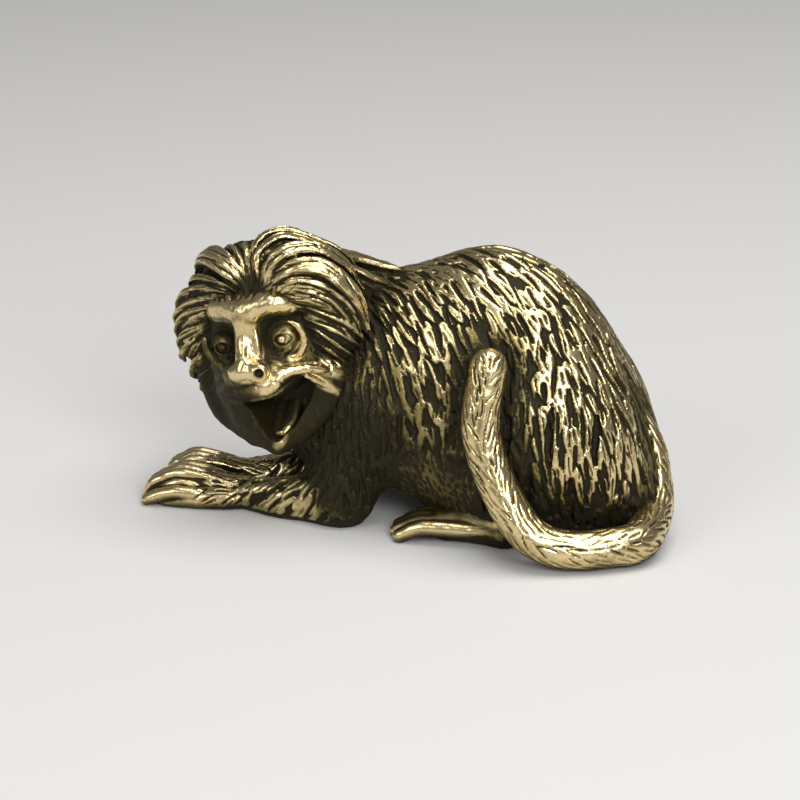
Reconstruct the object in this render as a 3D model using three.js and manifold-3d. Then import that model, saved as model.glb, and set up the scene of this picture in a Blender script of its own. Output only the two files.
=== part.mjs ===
// A crouching lion tamarin, a small cast brass ornament, made as separate castings that meet at open seams.
// Millimetres, +Z up. The animal faces -X, its left flank faces -Y, and it rests on the plane Z = 0.
import * as THREE from "three";
import { mergeVertices } from "three/addons/utils/BufferGeometryUtils.js";
import Module from "manifold-3d";

const wasm = await Module();
wasm.setup();

// Seams between the castings
const SEAM = 0.3;

// Torso and tail
const BODY_LENGTH = 33;
const BODY_HEIGHT = 23.4;
const BODY_HALF_WIDTH = 8.4;
const TAIL_RADIUS = 1.75;
const TAIL_HEIGHT = 18; // from the ground to the tail's raised end
const TAIL_SINK = 0.5; // how deep the raised end is let into the flank
const TAIL_SWING = 1; // how far the part on the ground stands off the haunch

// Hind legs
const HAUNCH_LENGTH = 16;
const HAUNCH_HEIGHT = 16.5;
const HAUNCH_BULGE = 1.1; // how far the haunch stands out from the flank
const FURROW_COUNT = 4; // main furrows in the fur of a haunch, in its upper row
const FURROW_PITCH = 3.5;
const FURROW_RADIUS = 0.34;
const SHANK_RADIUS = 2;
const FOOT_LENGTH = 5;
const FOOT_RADIUS = 1.5;
const TOE_COUNT = 4;
const TOE_LENGTH = 3;
const TOE_RADIUS = 0.62;

// Arms and hands
const SHOULDER_RADIUS = 4.2;
const ELBOW_RADIUS = 2.7;
const WRIST_RADIUS = 1.75;
const FOREARM_LENGTH = 9.6;
const PALM_LENGTH = 3.2;
const FINGER_COUNT = 4;
const FINGER_LENGTH = 4.8;
const FINGER_RADIUS = 0.56;
const FINGER_PITCH = 0.98;
const KNUCKLE_HEIGHT = 2.6;

// Head, in degrees and in millimetres from the middle of the skull
const HEAD_YAW = 80; // turned towards the animal's left
const HEAD_TILT = 15; // its left side raised
const SKULL_RADIUS = 5.7;
const NECK_RADIUS = 4.8;
const EYE_RADIUS = 1.3;
const EYE_SPACING = 5.4;
const BROW_RADIUS = 0.85;
const BRIDGE_RADIUS = 0.95; // of the ridge down the nose
const NOSTRIL_RADIUS = 0.7;
const CHEEK_RADIUS = 1.1;
const MUZZLE_LENGTH = 7.4; // to the front of the lips
const MUZZLE_HALF_WIDTH = 3;
const LIP_RADIUS = 0.62;
const JAW_DROP = 8;
const JAW_RADIUS = 0.85;
const TONGUE_RADIUS = 1;

// Mane
const LOCK_RADIUS = 0.66;
const HAIR_DEPTH = 1.45; // of the mass of hair below the locks
const NAPE_LOCKS = 9;
const NAPE_LOCK_RADIUS = 1;

const LEFT = -1;
const RIGHT = 1;

// Solids

const vector = ([x, y, z]) => new THREE.Vector3(x, y, z);
const degrees = THREE.MathUtils.degToRad;

// A closed three.js geometry as a solid that can be joined and cut.
function solid(geometry) {
  const bare = geometry.clone();
  bare.deleteAttribute("normal");
  bare.deleteAttribute("uv");
  const merged = mergeVertices(bare);
  return new wasm.Manifold(
    new wasm.Mesh({
      numProp: 3,
      vertProperties: new Float32Array(merged.attributes.position.array),
      triVerts: new Uint32Array(merged.index.array),
    }),
  );
}

const join = (solids) => solids.reduce((whole, piece) => whole.add(piece));
const cut = (whole, tools) => tools.reduce((rest, tool) => rest.subtract(tool), whole);

// The largest body of a cut solid, without the crumbs that a cut can leave behind.
function mainBody(cutSolid) {
  const bodies = cutSolid.decompose();
  return bodies.reduce((best, body) => (body.volume() > best.volume() ? body : best));
}

// A smooth value that runs through [place, value] pairs.
function along(pairs) {
  const places = pairs.map(([place]) => place);
  const values = pairs.map(([, value]) => value);
  const spline = new THREE.CubicInterpolant(places, values, 1);
  return (place) => spline.evaluate(place)[0];
}

// A closed skin over a row of rings, with a pole at each end.
function skin(rings, firstPole, lastPole) {
  const count = rings[0].length;
  const points = [firstPole, ...rings.flat(), lastPole];
  const at = (ring, i) => 1 + ring * count + (i % count);
  const end = rings.length - 1;
  const faces = [];
  for (let i = 0; i < count; i++) {
    faces.push(0, at(0, i + 1), at(0, i));
    faces.push(points.length - 1, at(end, i), at(end, i + 1));
    for (let ring = 0; ring < end; ring++) {
      faces.push(at(ring, i), at(ring, i + 1), at(ring + 1, i));
      faces.push(at(ring, i + 1), at(ring + 1, i + 1), at(ring + 1, i));
    }
  }
  return new THREE.BufferGeometry().setFromPoints(points).setIndex(faces);
}

// A tapering limb with round ends along a smooth curve through [x, y, z, radius] points.
function limb(points, grow = 0, { sides = 10, steps = 12, caps = 2 } = {}) {
  const curve = new THREE.CatmullRomCurve3(points.map(vector));
  const radius = along(points.map((point, i) => [i / (points.length - 1), point[3]]));
  const frames = curve.computeFrenetFrames(steps);
  const ring = (centre, size, i) =>
    Array.from({ length: sides }, (_, k) => {
      const angle = (2 * Math.PI * k) / sides;
      return centre
        .clone()
        .addScaledVector(frames.normals[i], size * Math.cos(angle))
        .addScaledVector(frames.binormals[i], size * Math.sin(angle));
    });
  const capAngles = Array.from({ length: caps }, (_, k) => (Math.PI / 2) * ((k + 1) / (caps + 1)));
  const rings = [];
  for (let i = 0; i <= steps; i++) {
    const centre = curve.getPointAt(i / steps);
    const size = radius(curve.getUtoTmapping(i / steps)) + grow;
    const cap = (angle, way) => {
      const out = centre.clone().addScaledVector(frames.tangents[i], way * size * Math.sin(angle));
      return ring(out, size * Math.cos(angle), i);
    };
    if (i === 0) rings.push(...capAngles.toReversed().map((angle) => cap(angle, -1)));
    rings.push(ring(centre, size, i));
    if (i === steps) rings.push(...capAngles.map((angle) => cap(angle, 1)));
  }
  const pole = (t, i, way) =>
    curve.getPointAt(t).addScaledVector(frames.tangents[i], way * (radius(t) + grow));
  return skin(rings, pole(0, 0, -1), pole(1, steps, 1));
}

function ellipsoid(centre, radii, grow = 0, around = 14) {
  const sphere = new THREE.SphereGeometry(1, around, Math.round(around * 0.65));
  return sphere.scale(...radii.map((radius) => radius + grow)).translate(...centre);
}

// How finely the slim limbs are cut: fingers, toes and lips, then the locks of hair.
const SLIM = { sides: 6, steps: 7, caps: 1 };
const HAIR = { sides: 5, steps: 6, caps: 1 };

// Torso

// Sections of the body from rump to breast: share of the length, then top, bottom and half width as shares.
const BODY_SECTIONS = [
  [0, 0.28, 0.1, 0.3],
  [0.035, 0.385, 0.02, 0.56],
  [0.1, 0.575, -0.04, 0.8],
  [0.2, 0.79, -0.06, 0.95],
  [0.3, 0.925, -0.06, 1],
  [0.42, 0.995, -0.06, 1],
  [0.52, 1, -0.04, 0.97],
  [0.63, 0.965, 0.05, 0.92],
  [0.73, 0.905, 0.11, 0.88],
  [0.83, 0.84, 0.12, 0.82],
  [0.92, 0.74, 0.14, 0.7],
  [1, 0.58, 0.24, 0.42],
];
const BODY_TAPER = 0.16; // the section narrows upwards by this share
const RUMP_X = BODY_LENGTH * 0.672;
const bodyX = (share) => RUMP_X - share * BODY_LENGTH;
const bodyTop = along(BODY_SECTIONS.map(([share, top]) => [share, top * BODY_HEIGHT]));
const bodyBottom = along(BODY_SECTIONS.map(([share, , bottom]) => [share, bottom * BODY_HEIGHT]));
const bodyWidth = along(BODY_SECTIONS.map(([share, , , width]) => [share, width * BODY_HALF_WIDTH]));

// Half width of the torso's surface at a share of its length and a height.
function flank(share, z) {
  const middle = (bodyTop(share) + bodyBottom(share)) / 2;
  const half = (bodyTop(share) - bodyBottom(share)) / 2;
  const sine = THREE.MathUtils.clamp((z - middle) / half, -1, 1);
  return bodyWidth(share) * Math.sqrt(1 - sine * sine) * (1 - BODY_TAPER * sine);
}

function torso(grow = 0) {
  const sides = 24;
  const steps = 18;
  const rings = [];
  for (let i = 0; i <= steps; i++) {
    const share = (1 - Math.cos((Math.PI * i) / steps)) / 2;
    const middle = (bodyTop(share) + bodyBottom(share)) / 2;
    const half = (bodyTop(share) - bodyBottom(share)) / 2 + grow;
    const ring = Array.from({ length: sides }, (_, k) => {
      const angle = (-2 * Math.PI * k) / sides;
      const width = (bodyWidth(share) + grow) * (1 - BODY_TAPER * Math.sin(angle));
      const x = bodyX(share) + grow * (1 - 2 * share);
      return vector([x, width * Math.cos(angle), middle + half * Math.sin(angle)]);
    });
    rings.push(ring);
  }
  const pole = (share, way) =>
    vector([bodyX(share) + way * (grow + SEAM), 0, (bodyTop(share) + bodyBottom(share)) / 2]);
  return solid(skin(rings, pole(0, 1), pole(1, -1)));
}

// Hind legs

const HIP_SHARE = 0.32;
const KNEE_SHARE = 0.53;
const HEEL_SHARE = 0.39;

const HAUNCH = { x: bodyX(HIP_SHARE), z: HAUNCH_HEIGHT * 0.46 };
const HAUNCH_OUTSIDE = flank(HIP_SHARE, HAUNCH.z) + HAUNCH_BULGE;
const HAUNCH_DEPTH = HAUNCH_OUTSIDE * 0.6;

// Rows of furrows: degrees from the middle of the haunch's outside to their lower and upper ends.
const FURROW_ROWS = [
  [5, 42],
  [-38, -4],
];

// Furrows between the tufts of fur, the lower row set between the upper ones.
function haunchFurrows(side) {
  return FURROW_ROWS.flatMap(([low, high], row) => {
    const count = FURROW_COUNT - row;
    return Array.from({ length: count }, (_, k) => {
      const x = (k - (count - 1) / 2) * FURROW_PITCH;
      const section = Math.sqrt(1 - (x / (HAUNCH_LENGTH / 2)) ** 2);
      const at = (angle, share) => [
        HAUNCH.x + x,
        side * (HAUNCH_OUTSIDE - HAUNCH_DEPTH * (1 - section * Math.cos(degrees(angle)))),
        HAUNCH.z + (HAUNCH_HEIGHT / 2) * section * Math.sin(degrees(angle)),
        FURROW_RADIUS * share,
      ];
      const route = [at(low, 0.4), at((low + high) / 2, 1), at(high, 0.4)];
      return solid(limb(route, 0, { sides: 4, steps: 4, caps: 0 }));
    });
  });
}

// The haunch itself. Its neighbours are fitted to its form without the furrows.
function haunch(side, grow = 0) {
  const centre = [HAUNCH.x, side * (HAUNCH_OUTSIDE - HAUNCH_DEPTH), HAUNCH.z];
  const radii = [HAUNCH_LENGTH / 2, HAUNCH_DEPTH, HAUNCH_HEIGHT / 2];
  const plain = solid(ellipsoid(centre, radii, grow, 20));
  return grow > 0 ? plain : cut(plain, haunchFurrows(side));
}

const FOOT_Y = BODY_HALF_WIDTH * 0.8;
const TOES_Y = FOOT_Y - FOOT_RADIUS * 0.4;

function foot(side, grow = 0) {
  const heelX = bodyX(HEEL_SHARE);
  const ballX = heelX - FOOT_LENGTH;
  const sole = limb(
    [
      [heelX, side * FOOT_Y, FOOT_RADIUS * 0.85, FOOT_RADIUS * 1.05],
      [heelX - FOOT_LENGTH * 0.5, side * (FOOT_Y + TOES_Y) * 0.5, FOOT_RADIUS * 0.95, FOOT_RADIUS],
      [ballX, side * TOES_Y, FOOT_RADIUS * 0.8, FOOT_RADIUS * 0.9],
    ],
    grow,
    { steps: 6 },
  );
  const toes = Array.from({ length: TOE_COUNT }, (_, k) => {
    const across = (k / (TOE_COUNT - 1) - 0.5) * 2;
    const y = side * (TOES_Y - across * FOOT_RADIUS * 1.15);
    const reach = TOE_LENGTH * (1 - 0.14 * across * across);
    return limb(
      [
        [ballX + TOE_RADIUS, y, TOE_RADIUS * 1.6, TOE_RADIUS],
        [ballX - reach * 0.5, y, TOE_RADIUS * 2, TOE_RADIUS],
        [ballX - reach, y, TOE_RADIUS * 0.8, TOE_RADIUS * 0.9],
      ],
      grow,
      SLIM,
    );
  });
  const shank = limb(
    [
      [bodyX(KNEE_SHARE), side * FOOT_Y * 0.7, BODY_HEIGHT * 0.3, SHANK_RADIUS],
      [heelX - FOOT_RADIUS, side * FOOT_Y, FOOT_RADIUS, SHANK_RADIUS * 0.7],
    ],
    grow,
    { ...SLIM, steps: 4 },
  );
  return join([sole, shank, ...toes].map(solid));
}

// Arms

const SHOULDER_SHARE = 0.74;
const ELBOW_SHARE = 0.82;
const ELBOW_Y = BODY_HALF_WIDTH * 0.54;
const ELBOW = { x: bodyX(ELBOW_SHARE), z: ELBOW_RADIUS * 0.85 };
const WRIST = { x: ELBOW.x - FOREARM_LENGTH, z: WRIST_RADIUS };
const HANDS_APART = FINGER_COUNT * FINGER_PITCH + SEAM;
const HANDS_MIDDLE = -0.6;
const HAND_Y = { [LEFT]: HANDS_MIDDLE - HANDS_APART / 2, [RIGHT]: HANDS_MIDDLE + HANDS_APART / 2 };

function upperArm(side, grow = 0) {
  const x = bodyX(SHOULDER_SHARE);
  const z = BODY_HEIGHT * 0.47;
  const y = side * (flank(SHOULDER_SHARE, z) - SHOULDER_RADIUS * 0.55);
  return solid(
    limb(
      [
        [x, y, z, SHOULDER_RADIUS],
        [(x + ELBOW.x) / 2, (y + side * ELBOW_Y) / 2, (z + ELBOW.z) / 2, ELBOW_RADIUS * 1.2],
        [ELBOW.x, side * ELBOW_Y, ELBOW.z, ELBOW_RADIUS],
      ],
      grow,
      { sides: 12, steps: 8 },
    ),
  );
}

function forearm(side, grow = 0) {
  const middleY = (side * ELBOW_Y + HAND_Y[side]) / 2 + side * WRIST_RADIUS * 0.23;
  return solid(
    limb(
      [
        [ELBOW.x, side * ELBOW_Y, ELBOW.z, ELBOW_RADIUS * 0.92],
        [(ELBOW.x + WRIST.x) / 2, middleY, WRIST.z * 1.12, (ELBOW_RADIUS + WRIST_RADIUS) / 2],
        [WRIST.x, HAND_Y[side], WRIST.z, WRIST_RADIUS],
      ],
      grow,
      { sides: 12, steps: 8 },
    ),
  );
}

function hand(side, grow = 0) {
  const knuckleX = WRIST.x - PALM_LENGTH;
  const palm = limb(
    [
      [WRIST.x, HAND_Y[side], WRIST.z, WRIST_RADIUS],
      [knuckleX, HAND_Y[side], KNUCKLE_HEIGHT - WRIST_RADIUS * 0.55, WRIST_RADIUS * 0.9],
    ],
    grow,
    { steps: 4 },
  );
  const fingers = Array.from({ length: FINGER_COUNT }, (_, k) => {
    const outward = k - (FINGER_COUNT - 1) / 2;
    const y = HAND_Y[side] + outward * FINGER_PITCH;
    const rootY = HAND_Y[side] + outward * FINGER_PITCH * 0.7;
    const reach = FINGER_LENGTH * (1 - 0.05 * outward * outward);
    return limb(
      [
        [WRIST.x - PALM_LENGTH * 0.4, rootY, KNUCKLE_HEIGHT, FINGER_RADIUS],
        [knuckleX, y, KNUCKLE_HEIGHT + FINGER_RADIUS * 0.2, FINGER_RADIUS * 1.05],
        [knuckleX - reach * 0.55, y, KNUCKLE_HEIGHT * 0.72, FINGER_RADIUS],
        [knuckleX - reach, y, FINGER_RADIUS * 0.9, FINGER_RADIUS * 0.92],
      ],
      grow,
      SLIM,
    );
  });
  return join([palm, ...fingers].map(solid));
}

// Tail

// The tail leaves the rump, lies on the ground round the left haunch, then climbs the flank to a blunt end.
function tail(grow = 0) {
  const beside = (share, z) => {
    const outX = (bodyX(share) - HAUNCH.x) / (HAUNCH_LENGTH / 2);
    const outZ = (z - HAUNCH.z) / (HAUNCH_HEIGHT / 2);
    const swell = Math.sqrt(Math.max(0, 1 - outX * outX - outZ * outZ));
    const reach = Math.max(flank(share, z), HAUNCH_OUTSIDE - HAUNCH_DEPTH * (1 - swell));
    const off = z > TAIL_RADIUS * 2 ? -TAIL_SINK : TAIL_SWING;
    return [bodyX(share), LEFT * (reach + TAIL_RADIUS + off), z];
  };
  const rise = TAIL_HEIGHT - TAIL_RADIUS;
  const rear = bodyX(0) - TAIL_RADIUS * 0.3;
  const points = [
    [rear - TAIL_RADIUS, BODY_HALF_WIDTH * 0.12, TAIL_RADIUS * 1.9, TAIL_RADIUS * 0.9],
    [rear, LEFT * BODY_HALF_WIDTH * 0.3, TAIL_RADIUS * 1.15, TAIL_RADIUS * 1.05],
    [rear - TAIL_RADIUS * 0.6, LEFT * BODY_HALF_WIDTH * 0.92, TAIL_RADIUS, TAIL_RADIUS * 1.05],
    [...beside(0.105, TAIL_RADIUS), TAIL_RADIUS],
    [...beside(0.22, TAIL_RADIUS * 1.05), TAIL_RADIUS],
    [...beside(0.325, TAIL_RADIUS * 1.75), TAIL_RADIUS],
    [...beside(0.395, rise * 0.4), TAIL_RADIUS],
    [...beside(0.44, rise * 0.68), TAIL_RADIUS],
    [...beside(0.415, rise), TAIL_RADIUS * 0.95],
  ];
  return solid(limb(points, grow, { sides: 10, steps: 26 }));
}

// Head

// The head's own axes: x out of the face, y to its left, z out of the crown, from the middle of the skull.
const HEAD_CENTRE = vector([bodyX(0.987), LEFT * BODY_HALF_WIDTH * 0.3, BODY_HEIGHT * 0.655]);
const HEAD_TURN = new THREE.Quaternion()
  .setFromAxisAngle(vector([0, 0, 1]), Math.PI + degrees(HEAD_YAW))
  .multiply(new THREE.Quaternion().setFromAxisAngle(vector([1, 0, 0]), degrees(HEAD_TILT)));
const HEAD = new THREE.Matrix4().compose(HEAD_CENTRE, HEAD_TURN, vector([1, 1, 1]));
const inHead = (geometry) => solid(geometry.applyMatrix4(HEAD));
const bothSides = (make) => [make(1), make(-1)];
const mirrored = ([x, y, ...rest]) => [x, -y, ...rest];

// A route across the face: down one side, through the middle and up the other side.
const across = (half, middle) => [...half, middle, ...half.map(mirrored).toReversed()];

const EYE_OUT = EYE_SPACING / 2;
const EYE_FORWARD = SKULL_RADIUS * 0.78;
const EYE_UP = SKULL_RADIUS * 0.16;
const BROW_UP = EYE_UP + EYE_RADIUS + BROW_RADIUS * 1.1;
const BROW_DIP = BROW_UP - BROW_RADIUS * 0.6; // between the eyes
const LIP_UP = SKULL_RADIUS * -0.47;
const NOSTRIL_OUT = MUZZLE_HALF_WIDTH * 0.37;
const MOUTH_CORNER = {
  x: MUZZLE_LENGTH * 0.49,
  y: MUZZLE_HALF_WIDTH * 1.3,
  z: LIP_UP - LIP_RADIUS * 0.8,
};

const eye = (side, grow = 0) =>
  inHead(ellipsoid([EYE_FORWARD, side * EYE_OUT, EYE_UP], [EYE_RADIUS, EYE_RADIUS, EYE_RADIUS], grow));

function head(grow = 0) {
  const size = SKULL_RADIUS;
  const skull = ellipsoid([-0.07 * size, 0, 0.21 * size], [size, 1.04 * size, 1.02 * size], grow);
  const face = ellipsoid([0.39 * size, 0, -0.07 * size], [0.66 * size, 0.8 * size, 0.8 * size], grow);
  const neck = limb(
    [
      [-0.18 * size, 0, -0.18 * size, NECK_RADIUS],
      [-0.56 * size, 0.1 * size, -size, NECK_RADIUS],
    ],
    grow,
    { steps: 4 },
  );
  const browEnd = EYE_OUT + BROW_RADIUS * 2.4;
  const brow = limb(
    across(
      [
        [EYE_FORWARD - BROW_RADIUS * 0.8, browEnd, BROW_UP - BROW_RADIUS, BROW_RADIUS * 0.8],
        [EYE_FORWARD + BROW_RADIUS * 0.8, EYE_OUT, BROW_UP + BROW_RADIUS * 0.1, BROW_RADIUS],
      ],
      [EYE_FORWARD + BROW_RADIUS * 1.4, 0, BROW_DIP, BROW_RADIUS],
    ),
    grow,
    { ...SLIM, steps: 10 },
  );
  const bridge = limb(
    [
      [EYE_FORWARD + BRIDGE_RADIUS * 1.15, 0, BROW_DIP, BRIDGE_RADIUS],
      [EYE_FORWARD + BRIDGE_RADIUS * 1.6, 0, EYE_UP - EYE_RADIUS * 0.45, BRIDGE_RADIUS],
      [MUZZLE_LENGTH - BRIDGE_RADIUS * 0.65, 0, LIP_UP * 0.26, BRIDGE_RADIUS * 1.1],
    ],
    grow,
    SLIM,
  );
  const muzzle = ellipsoid(
    [MUZZLE_LENGTH * 0.61, 0, LIP_UP * 0.63],
    [MUZZLE_LENGTH * 0.35, MUZZLE_HALF_WIDTH, MUZZLE_HALF_WIDTH * 0.52],
    grow,
  );
  const nostril = [NOSTRIL_RADIUS, NOSTRIL_RADIUS, NOSTRIL_RADIUS];
  const nostrils = bothSides((side) =>
    ellipsoid([MUZZLE_LENGTH - NOSTRIL_RADIUS * 0.45, side * NOSTRIL_OUT, LIP_UP * 0.32], nostril, grow, 9),
  );
  const lip = limb(
    across(
      [
        [MOUTH_CORNER.x - LIP_RADIUS * 1.6, MOUTH_CORNER.y + LIP_RADIUS * 0.5, MOUTH_CORNER.z, LIP_RADIUS],
        [MUZZLE_LENGTH - LIP_RADIUS * 2.75, MUZZLE_HALF_WIDTH * 0.72, LIP_UP + LIP_RADIUS * 0.4, LIP_RADIUS],
      ],
      [MUZZLE_LENGTH - LIP_RADIUS, 0, LIP_UP, LIP_RADIUS],
    ),
    grow,
    { ...SLIM, steps: 10 },
  );
  const cheeks = bothSides((side) => {
    const upperY = side * (EYE_OUT + CHEEK_RADIUS * 1.45);
    const lowerY = side * (MOUTH_CORNER.y + CHEEK_RADIUS * 0.5);
    return limb(
      [
        [EYE_FORWARD - CHEEK_RADIUS * 0.3, upperY, EYE_UP - EYE_RADIUS * 1.15, CHEEK_RADIUS * 0.9],
        [MOUTH_CORNER.x - CHEEK_RADIUS * 0.5, lowerY, LIP_UP + CHEEK_RADIUS * 0.5, CHEEK_RADIUS * 1.1],
      ],
      grow,
      SLIM,
    );
  });
  return join([skull, face, neck, brow, bridge, muzzle, ...nostrils, lip, ...cheeks].map(inHead));
}

// The eye sockets and the open mouth, cut out of the head.
function faceHollows() {
  const socket = [EYE_RADIUS * 1.25, EYE_RADIUS * 1.3, EYE_RADIUS * 1.25];
  const sockets = bothSides((side) =>
    inHead(ellipsoid([EYE_FORWARD + EYE_RADIUS * 1.08, side * EYE_OUT * 1.04, EYE_UP], socket)),
  );
  const mouthSize = [MUZZLE_LENGTH * 0.57, MUZZLE_HALF_WIDTH, (JAW_DROP + LIP_UP) * 0.44];
  const mouthMiddle = [MUZZLE_LENGTH * 0.57, 0, (LIP_UP - JAW_DROP) * 0.48];
  return [...sockets, inHead(ellipsoid(mouthMiddle, mouthSize))];
}

function lowerJaw(grow = 0) {
  const chin = [MUZZLE_LENGTH * 0.73, 0, -JAW_DROP, JAW_RADIUS];
  const turn = [MUZZLE_LENGTH * 0.54, MUZZLE_HALF_WIDTH * 0.75, -JAW_DROP * 0.82, JAW_RADIUS];
  const hinge = [
    MOUTH_CORNER.x - JAW_RADIUS * 1.9,
    MOUTH_CORNER.y,
    MOUTH_CORNER.z - JAW_RADIUS * 0.6,
    JAW_RADIUS,
  ];
  const rim = limb(across([hinge, turn], chin), grow, { ...SLIM, steps: 12 });
  const floor = limb(
    [
      [MUZZLE_LENGTH * 0.14, 0, -JAW_DROP * 0.78, MUZZLE_HALF_WIDTH * 0.8],
      [MUZZLE_LENGTH * 0.57, 0, -JAW_DROP * 0.99, JAW_RADIUS * 1.1],
    ],
    grow,
    SLIM,
  );
  return join([rim, floor].map(inHead));
}

const tongue = (grow = 0) =>
  inHead(
    limb(
      [
        [MUZZLE_LENGTH * 0.19, 0, -JAW_DROP * 0.5, TONGUE_RADIUS * 1.2],
        [MUZZLE_LENGTH * 0.43, 0, -JAW_DROP * 0.66, TONGUE_RADIUS],
        [MUZZLE_LENGTH * 0.6, 0, -JAW_DROP * 0.8, TONGUE_RADIUS * 0.7],
      ],
      grow,
      SLIM,
    ),
  );

// Mane

// Locks beside the face: thickness as a share, then a route: forward, left and up in skull radii.
const LEFT_LOCKS = [
  [0.5, [0.9, 0.15, 0.8], [0.6, 0.2, 1.35], [0.25, 0.45, 1.65], [0.05, 0.9, 1.4], [-0.4, 1.5, 0.4]],
  [0.65, [0.9, 0.2, 0.8], [0.7, 0.3, 1.35], [0.4, 0.7, 1.55], [0.05, 1.2, 1.1], [-0.3, 1.5, 0.4]],
  [1, [0.9, 0.25, 0.8], [0.85, 0.6, 1.3], [0.65, 0.95, 1.4], [0.3, 1.35, 1.15], [0, 1.6, 0.5]],
  [0.95, [0.9, 0.35, 0.8], [0.9, 0.8, 1.15], [0.65, 1.3, 1.05], [0.5, 1.5, 0.8], [0.2, 1.5, 0]],
  [0.6, [0.85, 0.45, 0.75], [0.8, 1.1, 0.95], [0.55, 1.4, 0.6], [0.3, 1.5, 0.05]],
  [0.5, [0.8, 0.6, 0.75], [0.75, 1.2, 0.7], [0.6, 1.3, 0.5], [0.3, 1.4, 0]],
  [0.4, [0.75, 0.8, 0.6], [0.55, 1.25, 0.3], [0.2, 1.45, -0.3]],
  [0.4, [0.65, 0.75, 0.25], [0.45, 1.1, -0.1], [0.15, 1.3, -0.6]],
  [0.4, [0.65, 0.7, -0.1], [0.35, 1, -0.55], [0.2, 1.1, -0.85]],
];
const RIGHT_LOCKS = [
  [1.5, [0.9, 0.1, 0.8], [0.75, -0.1, 1.25], [0.5, -0.55, 1.45], [0.1, -1.1, 1.15]],
  [0.5, [0.9, 0.1, 0.8], [0.65, 0, 1.3], [0.45, -0.1, 1.45], [0.1, -0.5, 1.45]],
  [0.55, [0.85, 0, 0.8], [0.7, -0.4, 1.15], [0.4, -0.95, 1.15], [0.25, -1.2, 0.95]],
  [0.5, [0.85, -0.1, 0.8], [0.6, -0.8, 1], [0.45, -1.05, 0.95], [0.15, -1.45, 0.45]],
  [0.45, [0.8, -0.25, 0.75], [0.55, -1, 0.8], [0.4, -1.25, 0.65], [0.25, -1.45, 0.35]],
  [0.45, [0.7, -0.55, 0.75], [0.5, -1.1, 0.6], [0.2, -1.45, 0.15]],
  [0.6, [0.65, -0.65, 0.6], [0.45, -1.25, 0.3], [0.2, -1.45, -0.1]],
  [0.45, [0.65, -0.7, 0.3], [0.5, -1, 0.15], [0.25, -1.35, -0.2]],
  [0.45, [0.6, -0.8, 0.05], [0.4, -1.2, -0.2], [0.25, -1.35, -0.4]],
  [0.4, [0.55, -0.9, -0.2], [0.35, -1.25, -0.45], [0.15, -1.3, -0.7]],
];

// Line of the nape's locks, from the crown down: forward, up and how wide the locks spread, in skull radii.
const NAPE_LINE = [
  [0.3, 1.25, 0.8],
  [-0.2, 1.2, 1.6],
  [-0.7, 0.95, 2.2],
  [-1.05, 0.45, 2.5],
  [-1.2, -0.2, 2.5],
  [-1.25, -0.8, 2.3],
];
const NAPE_DROOP = 0.2; // of the outer locks, below the middle one
const HAIR_MIDDLE = vector([-0.1, 0, 0.15]).multiplyScalar(SKULL_RADIUS);
const lockTaper = along([[0, 0.4], [0.3, 1], [0.75, 1], [1, 0.35]]);

// One lock beside the face, over its share of the mass of hair.
function faceLock([size, ...route], grow) {
  const places = route.map((point) => vector(point).multiplyScalar(SKULL_RADIUS));
  const taper = (i) => lockTaper(i / (places.length - 1));
  const lock = places.map((place, i) => [...place, LOCK_RADIUS * size * taper(i)]);
  const mass = places.map((place, i) => {
    const inwards = HAIR_MIDDLE.clone().sub(place).setLength(HAIR_DEPTH);
    return [...inwards.add(place), HAIR_DEPTH * taper(i)];
  });
  return [limb(lock, grow, HAIR), limb(mass, grow, { ...HAIR, steps: 4 })];
}

// One lock that falls from the crown over the back of the neck.
function napeLock(index, grow) {
  const spread = index / (NAPE_LOCKS - 1) - 0.5;
  const droop = NAPE_DROOP * (2 * spread) ** 2;
  const lock = NAPE_LINE.map(([forward, up, wide], i) => {
    const place = vector([forward, spread * wide, up - droop]).multiplyScalar(SKULL_RADIUS);
    return [...place, NAPE_LOCK_RADIUS * lockTaper(i / (NAPE_LINE.length - 1))];
  });
  return limb(lock, grow, HAIR);
}

const maneSide = (locks, grow = 0) => join(locks.flatMap((lock) => faceLock(lock, grow)).map(inHead));
const nape = (grow = 0) =>
  join(Array.from({ length: NAPE_LOCKS }, (_, index) => inHead(napeLock(index, grow))));

// Assembly

const brass = new THREE.MeshStandardMaterial({ color: 0xb08d4a, roughness: 0.32, metalness: 1 });
const darkBrass = new THREE.MeshStandardMaterial({ color: 0x3a3120, roughness: 0.6, metalness: 0.8 });

const figurine = new THREE.Group();

const ground = solid(
  new THREE.BoxGeometry(4 * BODY_LENGTH, 4 * BODY_LENGTH, BODY_HEIGHT).translate(0, 0, -BODY_HEIGHT / 2),
);

// Adds one casting. It is cut back to an open seam wherever it meets a casting that was added before it.
const placed = [ground];
function add(name, form, material = brass) {
  const fitted = mainBody(cut(form(0), placed));
  placed.push(form(SEAM));
  const { vertProperties, triVerts } = fitted.getMesh();
  const geometry = new THREE.BufferGeometry()
    .setAttribute("position", new THREE.BufferAttribute(vertProperties, 3))
    .setIndex(new THREE.BufferAttribute(triVerts, 1));
  geometry.computeVertexNormals();
  const mesh = new THREE.Mesh(geometry, material);
  mesh.name = name;
  figurine.add(mesh);
}

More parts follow.
